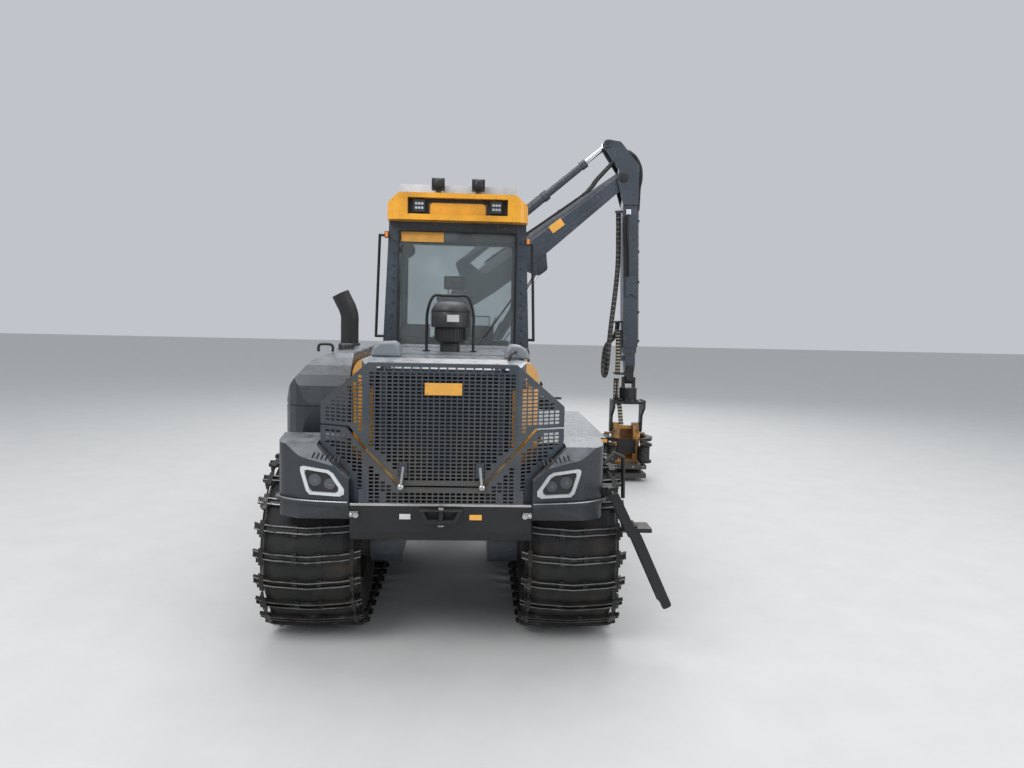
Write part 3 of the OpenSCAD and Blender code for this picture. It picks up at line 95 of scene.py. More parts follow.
class Finish:
    """A node material, kept in MATERIALS, in layers of colour, dust, painted sky reflection and bump by place
    on the object.
    """

    def __init__(self, name, colour, rough, metal=0.0, coat=0.0, vary=0.2):
        self.material = MATERIALS[name] = bpy.data.materials.new(name)
        self.material.use_nodes = True
        self.nodes = self.material.node_tree.nodes
        self.links = self.material.node_tree.links
        self.shader = self.nodes["Principled BSDF"]
        self.shader.inputs["Metallic"].default_value = metal
        self.shader.inputs["Coat Weight"].default_value = coat
        self.shader.inputs["Coat Roughness"].default_value = 0.15
        self.place = self.nodes.new("ShaderNodeTexCoord").outputs["Object"]
        self.rough = rough
        self.colour = self.blend(self.noise(2.3, 6, 0.35, 0.65),
                                 [c * (1 - vary) for c in colour], [c * (1 + vary) for c in colour])
        self.height = None

    def noise(self, scale, detail=4, low=0.3, high=0.7, stretch=(1, 1, 1)):
        """Noise by place, spread so that low to high covers 0 to 1."""
        mapping = self.nodes.new("ShaderNodeMapping")
        mapping.inputs["Scale"].default_value = stretch
        self.links.new(self.place, mapping.inputs["Vector"])
        texture = self.nodes.new("ShaderNodeTexNoise")
        texture.inputs["Scale"].default_value = scale
        texture.inputs["Detail"].default_value = detail
        self.links.new(mapping.outputs["Vector"], texture.inputs["Vector"])
        return self.spread(texture.outputs["Fac"], low, high)

    def spread(self, value, low, high, to_low=0.0, to_high=1.0):
        node = self.nodes.new("ShaderNodeMapRange")
        for socket, number in zip(("From Min", "From Max", "To Min", "To Max"), (low, high, to_low, to_high)):
            node.inputs[socket].default_value = number
        self.links.new(value, node.inputs["Value"])
        return node.outputs["Result"]

    def maths(self, kind, a, b):
        node = self.nodes.new("ShaderNodeMath")
        node.operation = kind
        for socket, value in zip(node.inputs, (a, b)):
            if isinstance(value, (int, float)):
                socket.default_value = value
            else:
                self.links.new(value, socket)
        return node.outputs["Value"]

    def blend(self, share, a, b):
        node = self.nodes.new("ShaderNodeMix")
        node.data_type = "RGBA"
        self.links.new(share, node.inputs["Factor"])
        for socket, value in ((node.inputs[MIX_A], a), (node.inputs[MIX_B], b)):
            if isinstance(value, (list, tuple)):
                socket.default_value = (*value, 1)
            else:
                self.links.new(value, socket)
        return node.outputs[MIX_RESULT]

    def layer(self, share, colour):
        self.colour = self.blend(share, self.colour, colour)
        return self

    def axis(self, name, vector=None):
        """One part of a vector, by default of the place."""
        split = self.nodes.new("ShaderNodeSeparateXYZ")
        self.links.new(vector or self.place, split.inputs["Vector"])
        return split.outputs[name]

    def up(self):
        """1 on a face that looks up, 0 on one that looks level or down."""
        normal = self.nodes.new("ShaderNodeNewGeometry").outputs["Normal"]
        return self.spread(self.axis("Z", normal), 0.2, 0.95)

    # Layer on upward faces: real dust in the default brown, painted sky reflection where a pale blue-grey is
    # given.
    def dust_and_sky_reflection(self, amount, colour=(0.23, 0.20, 0.16)):
        share = self.maths("MULTIPLY", self.up(), self.noise(11, 10, 0.05, 0.66))
        self.layer(self.maths("MULTIPLY", share, amount), colour)
        return self

    def mud(self, amount, low=0.45, high=0.62, scale=5, colour=(0.075, 0.05, 0.032)):
        self.layer(self.maths("MULTIPLY", self.noise(scale, 9, low, high), amount), colour)
        return self

    def scuffs(self, amount, colour, stretch=(1, 1, 1), scale=26):
        share = self.noise(scale, 10, 0.60, 0.68, stretch)
        self.layer(self.maths("MULTIPLY", share, amount), colour)
        return self

    def worn_edges(self, colour, low=0.52, high=0.6):
        crest = self.nodes.new("ShaderNodeNewGeometry").outputs["Pointiness"]
        share = self.maths("MULTIPLY", self.spread(crest, low, high), self.noise(14, 6, 0.25, 0.55))
        return self.layer(share, colour)

    def grain(self, scale=420, depth=0.0006, detail=3):
        """Bump by fine noise. depth is in metres."""
        self.height = (self.noise(scale, detail, 0.2, 0.8), depth)
        return self

    def done(self):
        self.links.new(self.colour, self.shader.inputs["Base Color"])
        low, high = max(self.rough - 0.09, 0.03), self.rough + 0.12
        rough = self.spread(self.noise(11, 7, 0.3, 0.7), 0, 1, low, high)
        self.links.new(rough, self.shader.inputs["Roughness"])
        if self.height:
            bump = self.nodes.new("ShaderNodeBump")
            bump.inputs["Distance"].default_value = self.height[1]
            bump.inputs["Strength"].default_value = 0.6
            self.links.new(self.height[0], bump.inputs["Height"])
            self.links.new(bump.outputs["Normal"], self.shader.inputs["Normal"])


NAVY = (0.031, 0.042, 0.059)
YELLOW = (0.80, 0.36, 0.018)
BRIGHT_STEEL = (0.42, 0.41, 0.39)
# Pale blue-grey for upward faces: painted sky reflection with some dust.
SKY_REFLECTION_AND_DUST = (0.27, 0.29, 0.31)
HOOD_EDGE_X = 0.597
SHOE_Z = 0.269


def painted(name, colour, rough=0.34):
    paint = Finish(name, colour, rough, coat=0.25).dust_and_sky_reflection(0.5)
    paint.scuffs(0.35, (0.16, 0.15, 0.14)).grain().done()


# Plastic whose upward faces are lightened to pale blue-grey: painted sky reflection with some dust.
def plastic(name, colour, rough, dust_and_sky_reflection):
    Finish(name, colour, rough, coat=0.15).dust_and_sky_reflection(dust_and_sky_reflection, SKY_REFLECTION_AND_DUST).grain(900, 0.0008).done()


def from_middle(paint):
    """Distance from the machine's middle plane, in metres."""
    return paint.maths("ABSOLUTE", paint.maths("ADD", paint.axis("X"), ORIGIN.x / 1000), 0)


def hood_paint():
    """Grey top with yellow outer corners; its upward faces get painted sky reflection with some dust."""
    paint = Finish("hood_paint", NAVY, 0.30, coat=0.3)
    paint.layer(paint.spread(from_middle(paint), HOOD_EDGE_X - 0.001, HOOD_EDGE_X + 0.001), YELLOW)
    # Pale blue-grey on upward faces: painted sky reflection with some dust.
    paint.dust_and_sky_reflection(0.9, (0.33, 0.35, 0.38)).mud(0.35, 0.54, 0.66, 22, (0.17, 0.13, 0.09)).grain().done()


def guard_paint():
    """The dark paint under more dust, brown low down in the middle."""
    paint = Finish("guard_paint", (0.040, 0.051, 0.066), 0.40).dust_and_sky_reflection(0.5)
    paint.mud(0.35, 0.40, 0.66, 3, (0.10, 0.095, 0.09))
    low = paint.spread(paint.axis("Z"), 1.95, 1.25)
    middle = paint.spread(from_middle(paint), 0.62, 0.2)
    share = paint.maths("MULTIPLY", paint.maths("MULTIPLY", low, middle), paint.noise(4, 7, 0.3, 0.7))
    paint.layer(paint.maths("MULTIPLY", share, 0.55), (0.15, 0.115, 0.075)).grain().done()


def head_paint():
    """Worn orange plates over a foot of dark steel."""
    paint = Finish("head_paint", (0.62, 0.27, 0.03), 0.42)
    paint.mud(0.75, 0.42, 0.6, 6, (0.10, 0.065, 0.04)).scuffs(0.8, (0.20, 0.19, 0.18))
    low = paint.spread(paint.axis("Z"), SHOE_Z - 0.001, SHOE_Z + 0.001, 1, 0)
    paint.layer(low, (0.045, 0.042, 0.04)).dust_and_sky_reflection(0.5).grain(300, 0.0008).done()


def cab_glass():
    glass = Finish("cab_glass", (0.66, 0.72, 0.73), 0.03, vary=0.05)
    glass.shader.inputs["Transmission Weight"].default_value = 0.93
    glass.shader.inputs["IOR"].default_value = 1.45
    glass.links.new(glass.colour, glass.shader.inputs["Base Color"])
    smear = glass.spread(glass.noise(40, 8, 0.55, 0.8), 0, 1, 0.01, 0.05)
    glass.links.new(smear, glass.shader.inputs["Roughness"])


def banded(name, dark, pale, pitch, pale_share):
    """Bands along a hose by height: dark rubber with pale bands, a real wrap on hose_wrap and painted
    highlights on hose_rubber. pitch is in metres.
    """
    hose = Finish(name, dark, 0.5)
    wave = hose.maths("SINE", hose.maths("MULTIPLY", hose.axis("Z"), 2 * math.pi / pitch), 0)
    hose.layer(hose.spread(wave, 1 - 2 * pale_share, 1.02 - 2 * pale_share), pale)
    hose.mud(0.35).grain(300, 0.001).done()


def seat_fabric():
    cloth = Finish("seat_fabric", (0.035, 0.036, 0.040), 0.85)
    cloth.shader.inputs["Sheen Weight"].default_value = 0.25
    cloth.mud(0.2, 0.5, 0.7, 12, (0.11, 0.10, 0.09)).grain(1400, 0.0008).done()


def lit_lens(name, colour):
    lens = Finish(name, colour, 0.12, coat=0.6)
    lens.shader.inputs["Emission Color"].default_value = (*colour, 1)
    lens.shader.inputs["Emission Strength"].default_value = 0.06
    lens.grain(500, 0.0004).done()


painted("dark_paint", NAVY)
painted("yellow_paint", YELLOW, 0.30)
Finish("black_paint", (0.010, 0.0105, 0.012), 0.48).dust_and_sky_reflection(0.3).grain().done()
# Each plastic's last number sets how much painted sky reflection, with some dust, its upward faces get.
plastic("black_plastic", (0.014, 0.014, 0.015), 0.5, 0.45)
plastic("grey_plastic", (0.024, 0.031, 0.038), 0.30, 0.75)
plastic("pale_plastic", (0.26, 0.285, 0.31), 0.4, 0.8)
hood_paint()
guard_paint()
head_paint()
Finish("track_steel", (0.022, 0.021, 0.020), 0.38, metal=0.4).mud(0.6, 0.45, 0.66, 5, (0.035, 0.026, 0.019)) \
    .scuffs(0.4, (0.18, 0.175, 0.17), (0.3, 1, 1)).grain(160, 0.002).done()
Finish("tyre", (0.012, 0.012, 0.012), 0.7).mud(0.35, 0.48, 0.7).grain(60, 0.006, 8).done()
Finish("rim_paint", (0.05, 0.052, 0.055), 0.5).mud(0.8, 0.38, 0.6).grain(200, 0.001).done()
Finish("engine_iron", (0.06, 0.06, 0.062), 0.6, metal=0.4).mud(0.3).grain(180, 0.002).done()
Finish("lamp_silver", (0.62, 0.64, 0.66), 0.26, metal=0.35).dust_and_sky_reflection(0.4).grain(600, 0.0004).done()
cab_glass()
Finish("chrome", (0.75, 0.76, 0.78), 0.10, metal=1.0).scuffs(0.2, (0.35, 0.33, 0.3)).done()
Finish("steel", (0.23, 0.225, 0.22), 0.36, metal=0.9).mud(0.4, 0.48, 0.66).worn_edges(BRIGHT_STEEL) \
    .grain(220, 0.001).done()
Finish("dark_steel", (0.05, 0.05, 0.05), 0.40, metal=0.8).mud(0.5, 0.45, 0.65) \
    .scuffs(0.5, (0.22, 0.215, 0.21)).grain(220, 0.001).done()
# The hose loop's narrow pale bands are painted highlights on its ribbed segments.
banded("hose_rubber", (0.016, 0.016, 0.017), (0.13, 0.13, 0.125), 0.071, 0.10)
banded("hose_wrap", (0.035, 0.034, 0.03), (0.55, 0.50, 0.38), 0.05, 0.52)
seat_fabric()
Finish("worn_steel", (0.24, 0.24, 0.24), 0.32, metal=0.9).mud(0.8, 0.48, 0.7, 12, (0.03, 0.027, 0.024)) \
    .grain(200, 0.001).done()
Finish("bare_steel", (0.50, 0.50, 0.49), 0.28, metal=1.0).mud(0.25, 0.5, 0.7).grain(300, 0.0006).done()
Finish("sign_orange", (0.80, 0.40, 0.07), 0.4, vary=0.08).mud(0.15, 0.5, 0.7).grain(500, 0.0003).done()
Finish("sign_pale", (0.62, 0.62, 0.60), 0.4).mud(0.2, 0.5, 0.7).grain(500, 0.0003).done()
# A darker, duller yellow, for the strips set back in the guard's gaps.
Finish("dark_yellow", (0.27, 0.165, 0.05), 0.5).mud(0.8, 0.42, 0.58, 9).grain(300, 0.001).done()
Finish("shadow_gap", (0.004, 0.004, 0.005), 0.8).grain(200, 0.001).done()
Finish("seal_rubber", (0.010, 0.010, 0.010), 0.6).dust_and_sky_reflection(0.3).grain(500, 0.0006).done()
Finish("lamp_ring", (0.10, 0.11, 0.12), 0.3, metal=0.6).grain(400, 0.0006).done()
Finish("dark_lens", (0.12, 0.135, 0.15), 0.14, metal=0.5, coat=1.0) \
    .mud(0.6, 0.45, 0.55, 40, (0.04, 0.045, 0.05)).done()
lit_lens("amber_lens", (0.85, 0.25, 0.02))
lit_lens("white_lens", (0.50, 0.52, 0.55))
Finish("reflector", (0.85, 0.86, 0.88), 0.06, metal=1.0).grain(90, 0.0006).done()

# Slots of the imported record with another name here, and the nodes that differ from their slot
SLOT_FINISH = {"lamp": "lamp_silver", "glass": "cab_glass", "fabric": "seat_fabric"}
NODE_FINISH = {"hood_top": "hood_paint", "head_frame": "head_paint"}
NODE_FINISH.update({node: "dark_steel" for node in (
    "feed_roller_left", "feed_roller_right", "knife_left", "knife_right", "saw_bar")})

for part in frame["record"]["subparts"]:
    slot = part["material_slot"]
    looks = frame["nodes"][part["node"]].data.materials
    looks.clear()
    looks.append(MATERIALS[NODE_FINISH.get(part["node"], SLOT_FINISH.get(slot, slot))])


# Shapes in machine millimetres


def ring_faces(n, rings=2):
    """The faces that join rings of n points, each ring to the next."""
    return [[i + k, i + (k + 1) % n, i + n + (k + 1) % n, i + n + k]
            for i in range(0, (rings - 1) * n, n) for k in range(n)]


class Shape:
    """A joined mesh of prisms, tubes and turned forms, gathered in machine millimetres."""

    def __init__(self):
        self.verts = []
        self.faces = []

    def add(self, verts, faces):
        base = len(self.verts)
        self.verts += [tuple(v) for v in verts]
        self.faces += [[base + i for i in face] for face in faces]
        return self

    def prism(self, outline, low, high, axis="y"):
        """An outline swept along an axis. Its pairs are (y, z) for x, (x, z) for y and (x, y) for z."""
        slot = "xyz".index(axis)
        n = len(outline)
        verts = [(*p[:slot], c, *p[slot:]) for c in (low, high) for p in outline]
        return self.add(verts, [list(range(n))[::-1], list(range(n, 2 * n))] + ring_faces(n))

    def box(self, low, high):
        return self.prism([(low[0], low[1]), (high[0], low[1]), (high[0], high[1]), (low[0], high[1])],
                          low[2], high[2], "z")

    def tube(self, path, radius, sides=12):
        """A tube along a path. radius is one number or one for each point."""
        points = [Vector(p) for p in path]
        n = len(points)
        radii = [radius] * n if isinstance(radius, (int, float)) else radius
        ahead = [(points[min(i + 1, n - 1)] - points[max(i - 1, 0)]).normalized() for i in range(n)]
        side = ahead[0].orthogonal().normalized()
        verts = []
        for point, way, r in zip(points, ahead, radii):
            side = (side - way * side.dot(way)).normalized()
            other = way.cross(side)
            verts += [point + (side * math.cos(t) + other * math.sin(t)) * r
                      for t in (2 * math.pi * k / sides for k in range(sides))]
        caps = [list(range(sides))[::-1], list(range((n - 1) * sides, n * sides))]
        return self.add(verts, ring_faces(sides, n) + caps)

    def slab(self, corners, low, high):
        """Corners that share one y, swept along y from low to high."""
        return self.prism([(c.x, c.z) for c in corners], low, high)

    def turned(self, start, way, profile, sides=24):
        """A form turned about the line from start along way. profile holds (distance along, radius)."""
        way = Vector(way).normalized()
        return self.tube([Vector(start) + way * max(a, 1e-3 * i) for i, (a, r) in enumerate(profile)],
                         [max(r, 0.3) for a, r in profile], sides)

    def bolt(self, place, way, size=11):
        return self.turned(place, way, [(-1, size), (size * 0.7, size), (size * 0.9, size * 0.8)], 6)

    def make(self, name, material, body, bevel=0, smooth=False):
        """The shape as a piece that rides on a body, or on none yet where body is None."""
        mesh = bpy.data.meshes.new(name)
        mesh.from_pydata([row(v) for v in self.verts], [], self.faces)
        work = bmesh.new()
        work.from_mesh(mesh)
        bmesh.ops.recalc_face_normals(work, faces=work.faces)
        work.to_mesh(mesh)
        work.free()
        mesh.materials.append(MATERIALS[material])
        piece = bpy.data.objects.new(name, mesh)
        bpy.context.scene.collection.objects.link(piece)
        if bevel:
            rounding = piece.modifiers.new("rounding", "BEVEL")
            rounding.width = bevel / 1000
            rounding.segments = 2
            rounding.limit_method = "ANGLE"
            rounding.harden_normals = True
        if bevel or smooth:
            mesh.shade_smooth()
        if smooth:
            mesh.set_sharp_from_angle(angle=math.radians(40))
        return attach(piece, body) if body else piece


def stand_in(piece, node):
    """Shows the piece in place of a CAD node."""
    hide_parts(node)


def smooth_path(points, steps):
    """The points joined by a smooth curve with so many steps between two of them."""
    p = [Vector(q) for q in points]
    p = [p[0] * 2 - p[1]] + p + [p[-1] * 2 - p[-2]]
    out = []
    for i in range(1, len(p) - 2):
        a, b, c, d = p[i - 1:i + 3]
        out += [(b * 2 + (c - a) * t + (a * 2 - b * 5 + c * 4 - d) * t ** 2
                 + (b * 3 - a - c * 3 + d) * t ** 3) / 2 for t in (k / steps for k in range(steps))]
    return out + [p[-2]]


SIDES = (-1, 1)


def mirrored(function):
    """Calls function for both sides of the machine, with -1 for its left and 1 for its right."""
    for side in SIDES:
        function(side)


def word(side):
    return "left" if side < 0 else "right"


# Cords

HOSE_LOOP_R = 40
HOSE_LOOP_ROUTE = [
    (2384, 2900, 4139), (2391, 2900, 3940), (2397, 2899, 3740), (2402, 2896, 3540), (2400, 2888, 3340),
    (2387, 2868, 3140), (2366, 2834, 2945), (2341, 2790, 2750), (2313, 2740, 2555), (2288, 2692, 2360),
    (2267, 2652, 2170), (2252, 2624, 2030), (2246, 2616, 1930), (2243, 2640, 1818), (2243, 2704, 1724),
    (2246, 2798, 1661), (2251, 2908, 1640), (2258, 3018, 1661), (2266, 3112, 1724), (2276, 3176, 1818),
    (2288, 3200, 1930), (2297, 3187, 2028), (2324, 3148, 2114), (2366, 3088, 2178), (2407, 3028, 2241),
    (2434, 2990, 2327), (2444, 2980, 2425), (2443, 2980, 2460)]
HEAD_HOSE_R = 42
HEAD_HOSE_ROUTE = [
    (2445, 2900, 2320), (2446, 2900, 2275), (2448, 2900, 2230), (2450, 2900, 2185), (2451, 2900, 2140),
    (2453, 2900, 2095), (2454, 2900, 2050), (2455, 2900, 2005), (2456, 2900, 1960), (2457, 2900, 1915),
    (2457, 2900, 1870), (2456, 2900, 1825), (2455, 2900, 1780), (2455, 2900, 1735), (2455, 2900, 1691)]

RIB_PITCH = 26
RIB_DEPTH = 5


def ribbed(path, radius):
    """The path in short steps, with a radius for each that rises and falls."""
    spots = []
    for a, b in zip(path, path[1:]):
        steps = max(1, round((b - a).length / (RIB_PITCH / 2)))
        spots += [a.lerp(b, k / steps) for k in range(steps)]
    spots.append(path[-1])
    return spots, [radius - RIB_DEPTH * (i % 2) for i in range(len(spots))]


def hose_cord(name, route, radius, node, body, material, bend=None):
    """A ribbed hose on a body, or on no body where bend is given; the link and points in bend are not used.
    """
    path = smooth_path(route, 8)
    piece = Shape().tube(*ribbed(path, radius), 14).make(name, material, None if bend else body, smooth=True)
    stand_in(piece, node)
    if bend:
        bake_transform(piece)


hose_cord("hose_loop_bundle", HOSE_LOOP_ROUTE, HOSE_LOOP_R, "hose_loop", "stick", "hose_rubber")
hose_cord("head_hose_bundle", HEAD_HOSE_ROUTE, HEAD_HOSE_R, "head_hose", "telescope_inner", "hose_wrap",
          ("link", (2455, 2900, 2200), (2455, 2900, 1700)))


# Rear guard: a finely slotted door over a slotted apron

GUARD_Y = -3640
WING_X, WING_Y = 900, -3466
FOLD_X = 530
DOOR_OUTLINE = [(-515, 2190), (515, 2190), (870, 1885), (870, 1745), (655, 1745), (275, 1335),
                (-275, 1335), (-655, 1745), (-870, 1745), (-870, 1885)]
APRON_OUTLINE = [(-870, 1722), (-676, 1722), (-299, 1312), (299, 1312), (676, 1722), (870, 1722),
                 (870, 1600), (690, 1440), (645, 1400), (645, 1190), (-645, 1190), (-645, 1400),
                 (-690, 1440), (-870, 1600)]
HOOK_X, POST_X, FOOT_X = 375, 416, 560
SLOT_PITCH = (41, 26.5)
SLOT_SIZE = (31, 17)
TOP_ROW_Z = 2152
TOP_PITCH = 62
TOP_SLOT = (50, 30)
PLATE_RIM = 15
FOLD_RIM, FOLD_NEAR = 6, 60
WIRE_R, WIRE_IN = 6.5, 12
PLATE_THICK = 8


def guard_surface(x):
    """Y of the guard's rear face: level in the middle, folded forward at both wings."""
    return GUARD_Y + max(0, abs(x) - FOLD_X) * (WING_Y - GUARD_Y) / (WING_X - FOLD_X)


def edges(outline):
    return zip(outline, outline[1:] + outline[:1])


def clipped(outline, limit, keep_below):
    """The part of an outline on one side of x = limit."""
    out = []
    for (x0, z0), (x1, z1) in edges(outline):
        in0, in1 = ((x <= limit) == keep_below for x in (x0, x1))
        if in0:
            out.append((x0, z0))
        if in0 != in1:
            out.append((limit, z0 + (z1 - z0) * (limit - x0) / (x1 - x0)))
    return out


def inside(x, z, outline):
    hits = sum((z0 > z) != (z1 > z) and x < (x1 - x0) * (z - z0) / (z1 - z0) + x0
               for (x0, z0), (x1, z1) in edges(outline))
    return hits % 2 == 1


def slots_in(outline, top_row_z=None):
    """Rectangles of the slot grid that lie whole inside an outline, clear of its rim."""
    xs, zs = zip(*outline)
    first, last = (int(edge / SLOT_PITCH[1]) for edge in (min(zs), max(zs)))
    rows = [(k * SLOT_PITCH[1], SLOT_PITCH[0], SLOT_SIZE) for k in range(first, last + 1)]
    if top_row_z:
        rows = [r for r in rows if r[0] < top_row_z - TOP_SLOT[1]] + [(top_row_z, TOP_PITCH, TOP_SLOT)]
    found = []
    for z, pitch, (w, h) in rows:
        for k in range(int(min(xs) / pitch) - 1, int(max(xs) / pitch) + 2):
            x = k * pitch
            rim = PLATE_RIM if abs(abs(x) - FOLD_X) > FOLD_NEAR else FOLD_RIM
            clear = [(x + a * (w / 2 + rim), z + b * (h / 2 + PLATE_RIM)) for a in (-1, 0, 1) for b in SIDES]
            if all(inside(u, v, outline) for u, v in clear):
                corners = ((-1, -1), (-1, 1), (1, 1), (1, -1))
                found.append([(x + a * w / 2, z + b * h / 2) for a, b in corners])
    return found


def fretted(outline, holes, thick):
    """A flat plate with holes as (vertices, faces): x, offset from the middle of its thickness, z."""
    curve = bpy.data.curves.new("plate", "CURVE")
    curve.dimensions = "2D"
    curve.fill_mode = "BOTH"
    curve.extrude = thick / 2
    for loop in [outline] + holes:
        spline = curve.splines.new("POLY")
        spline.points.add(len(loop) - 1)
        for point, (x, z) in zip(spline.points, loop):
            point.co = (x, z, 0, 1)
        spline.use_cyclic_u = True
    carrier = bpy.data.objects.new("plate", curve)
    bpy.context.scene.collection.objects.link(carrier)
    mesh = bpy.data.meshes.new_from_object(carrier.evaluated_get(bpy.context.evaluated_depsgraph_get()))
    verts = [(v.co.x, v.co.z, v.co.y) for v in mesh.vertices]
    faces = [list(f.vertices) for f in mesh.polygons]
    bpy.data.objects.remove(carrier)
    bpy.data.curves.remove(curve)
    bpy.data.meshes.remove(mesh)
    return verts, faces


def guard_plate(shape, outline, top_row_z=None):
    """A plate cut at both folds, each part slotted by the same grid and bent on to the guard's surface."""
    middle = clipped(clipped(outline, FOLD_X, True), -FOLD_X, False)
    for part in [middle, clipped(outline, FOLD_X, False), clipped(outline, -FOLD_X, True)]:
        verts, faces = fretted(part, slots_in(part, top_row_z if part is middle else None), PLATE_THICK)
        shape.add([(x, guard_surface(x) + PLATE_THICK / 2 + off, z) for x, off, z in verts], faces)
    for (x0, z0), (x1, z1) in edges(outline):
        folds = sorted((s * FOLD_X for s in SIDES if min(x0, x1) < s * FOLD_X < max(x0, x1)),
                       key=lambda x: abs(x - x0))
        stops = [(x0, z0)] + [(x, z0 + (z1 - z0) * (x - x0) / (x1 - x0)) for x in folds] + [(x1, z1)]
        shape.tube([(x, guard_surface(x) + WIRE_IN, z) for x, z in stops], WIRE_R, 6)


LATCH_X = 268
SIGN_Y = -3651


def latch(side):
    """A hanging handle with a ball, on a bolted plate."""
    x, ball = side * LATCH_X, (side * 284, -3672, 1330)
    shape = Shape().tube([(x, -3645, 1470), (x, -3663, 1470), ball], 11, 12)
    shape.turned((ball[0], ball[1], ball[2] + 26), (0, 0, -1),
                 [(0, 6), (5, 18), (14, 25), (26, 28), (38, 25), (47, 18), (52, 4)])
    shape.make(f"latch_rod_{word(side)}", "bare_steel", "guard", smooth=True)
    hinge = Shape().box((x - 28, -3662, 1395), (x + 28, -3641, 1496))
    for z in (1410, 1475):
        hinge.bolt((x, -3661, z), BACK, 8)
    hinge.make(f"latch_plate_{word(side)}", "dark_paint", "guard", bevel=3)


def make_guard():
    door = Shape()
    guard_plate(door, DOOR_OUTLINE, TOP_ROW_Z)
    for s in SIDES:
        hook = [(GUARD_Y + 4, 2150), (-3600, 2160), (-3594, 2168), (-3594, 2192), (-3604, 2200),
                (GUARD_Y + 4, 2188)]
        door.prism(hook, s * HOOK_X - 15, s * HOOK_X + 15, "x")
    stand_in(door.make("guard_door_plate", "guard_paint", "guard"), "guard_door")
    apron = Shape()
    guard_plate(apron, APRON_OUTLINE)
    for s in SIDES:
        apron.box((s * FOOT_X - 20, -3636, 1200), (s * FOOT_X + 20, -3561, 1300))
        apron.box((s * POST_X - 20, -3610, 1184), (s * POST_X + 20, -3570, 2180))
        apron.tube([(s * 350, -3614, 2180), (s * 430, -3614, 2180)], 10)
        apron.box((s * POST_X - 20, -3638, 1210), (s * POST_X + 20, -3600, 1290))
        apron.box((min(s * 300, s * FOOT_X), -3610, 1184), (max(s * 300, s * FOOT_X), -3570, 1230))
    stand_in(apron.make("guard_apron_plate", "guard_paint", REAR), "guard_apron")
    Shape().box((-640, -3645, 1186), (640, -3634, 1204)).make("apron_lip", "bare_steel", REAR, bevel=2)
    mirrored(latch)
    # Darker yellow strips set back in the gaps between door and apron.
    strips = Shape()
    for s in SIDES:
        strips.prism([(s * 530, 1612), (s * 530, 1560), (s * 301, 1312), (s * 277, 1335)], -3626, -3616)
    strips.make("guard_gap_strips", "dark_yellow", REAR)
    plate = Shape().box((-124, SIGN_Y, 1975), (134, SIGN_Y + 5, 2060))
    for z in (1990, 2045):
        for x in (-108, 118):
            plate.bolt((x, SIGN_Y, z), BACK, 6)
    plate.make("guard_plate_blank", "sign_orange", "guard", bevel=2)


make_guard()


# Bumper, lamps, fenders

BUMPER_Y = -3641
DRAIN_Y = -3670


def make_bumper_trim():
    for name, material, low_x, low_z, high_x in (("bumper_plate_pale", "sign_pale", -292, 1092, -214),
                                                 ("bumper_plate_orange", "sign_orange", 200, 1090, 288)):
        plate = Shape().box((low_x, -3648, low_z), (high_x, BUMPER_Y, low_z + 38))
        plate.make(name, material, REAR, bevel=2)
    bolts = Shape()
    for s in SIDES:
        bolts.turned((s * 592, BUMPER_Y, 1128), BACK, [(0, 15), (26, 15), (34, 20), (44, 20), (46, 12)], 12)
        bolts.turned((s * 626, BUMPER_Y, 1124), BACK, [(0, 15), (26, 15), (30, 10)], 12)
        bolts.box((s * 610 - 30, -3652, 1108), (s * 610 + 30, BUMPER_Y, 1146))
    bolts.make("bumper_bolts", "bare_steel", REAR, bevel=1)
    grip = ((-140, 1160), (-98, 1080), (98, 1080), (140, 1160))
    trim = Shape().tube([(x, -3690, z) for x, z in grip], 7, 8)
    trim.turned((0, DRAIN_Y, 1168), UP, [(0, 22), (10, 22), (16, 18)])
    trim.turned((0, DRAIN_Y, 1062), (0, 0, -1), [(0, 28), (8, 28), (12, 24)])
    trim.make("tow_frame_trim", "steel", REAR, smooth=True)


LAMP_RIM = [(702, 1248), (676, 1264), (672, 1300), (752, 1414), (786, 1436),
            (972, 1458), (998, 1450), (1000, 1422), (952, 1276), (926, 1252)]
LAMP_MIDDLE = (842, 1352)


def lamp_surface(x):
    """Y of the lamp's face: it slopes forward outwards, and curves near its outer end."""
    return -3668 + (abs(x) - 600) * 62 / 400 + max(0, abs(x) - 860) ** 2 * 0.0012


def shrunk(share):
    """The lamp's rim drawn in towards its middle."""
    return [(LAMP_MIDDLE[0] + (x - LAMP_MIDDLE[0]) * share, LAMP_MIDDLE[1] + (z - LAMP_MIDDLE[1]) * share)
            for x, z in LAMP_RIM]


def add_bezel(bezel, side):
    rings = [[(side * x, lamp_surface(x) - lift, z) for x, z in shrunk(share)]
             for share, lift in ((0.992, -150), (0.985, 0), (0.95, 6), (0.755, 7), (0.72, -12))]
    for outer, inner in zip(rings, rings[1:]):
        bezel.add(outer + inner, ring_faces(len(outer)))
    for x, z in ((702, 1280), (782, 1412), (966, 1434), (918, 1276)):
        bezel.bolt((side * x, lamp_surface(x) - 5, z), BACK, 8)


def make_lamp_inside(side):
    outline = shrunk(0.735)
    n = len(outline)
    insert = Shape().add([(side * x, lamp_surface(x) + 8, z) for x, z in outline + [LAMP_MIDDLE]],
                         [[i, (i + 1) % n, n] for i in range(n)])
    insert.make(f"lamp_insert_{word(side)}", "black_plastic", REAR)
    bowls, lenses = Shape(), Shape()
    for x, z, r in ((778, 1338, 40), (884, 1362, 44)):
        place = (side * x, lamp_surface(x) + 7, z)
        bowls.turned(place, BACK, [(0, r), (8, r), (9, r - 3), (5, r - 6), (4, r - 8)])
        lenses.turned(place, BACK, [(4, r - 8), (7, r * 0.6), (9, r * 0.3), (10, 1)])
    bowls.make(f"lamp_rings_{word(side)}", "lamp_ring", REAR, smooth=True)
    lenses.make(f"lamp_lenses_{word(side)}", "dark_lens", REAR, smooth=True)


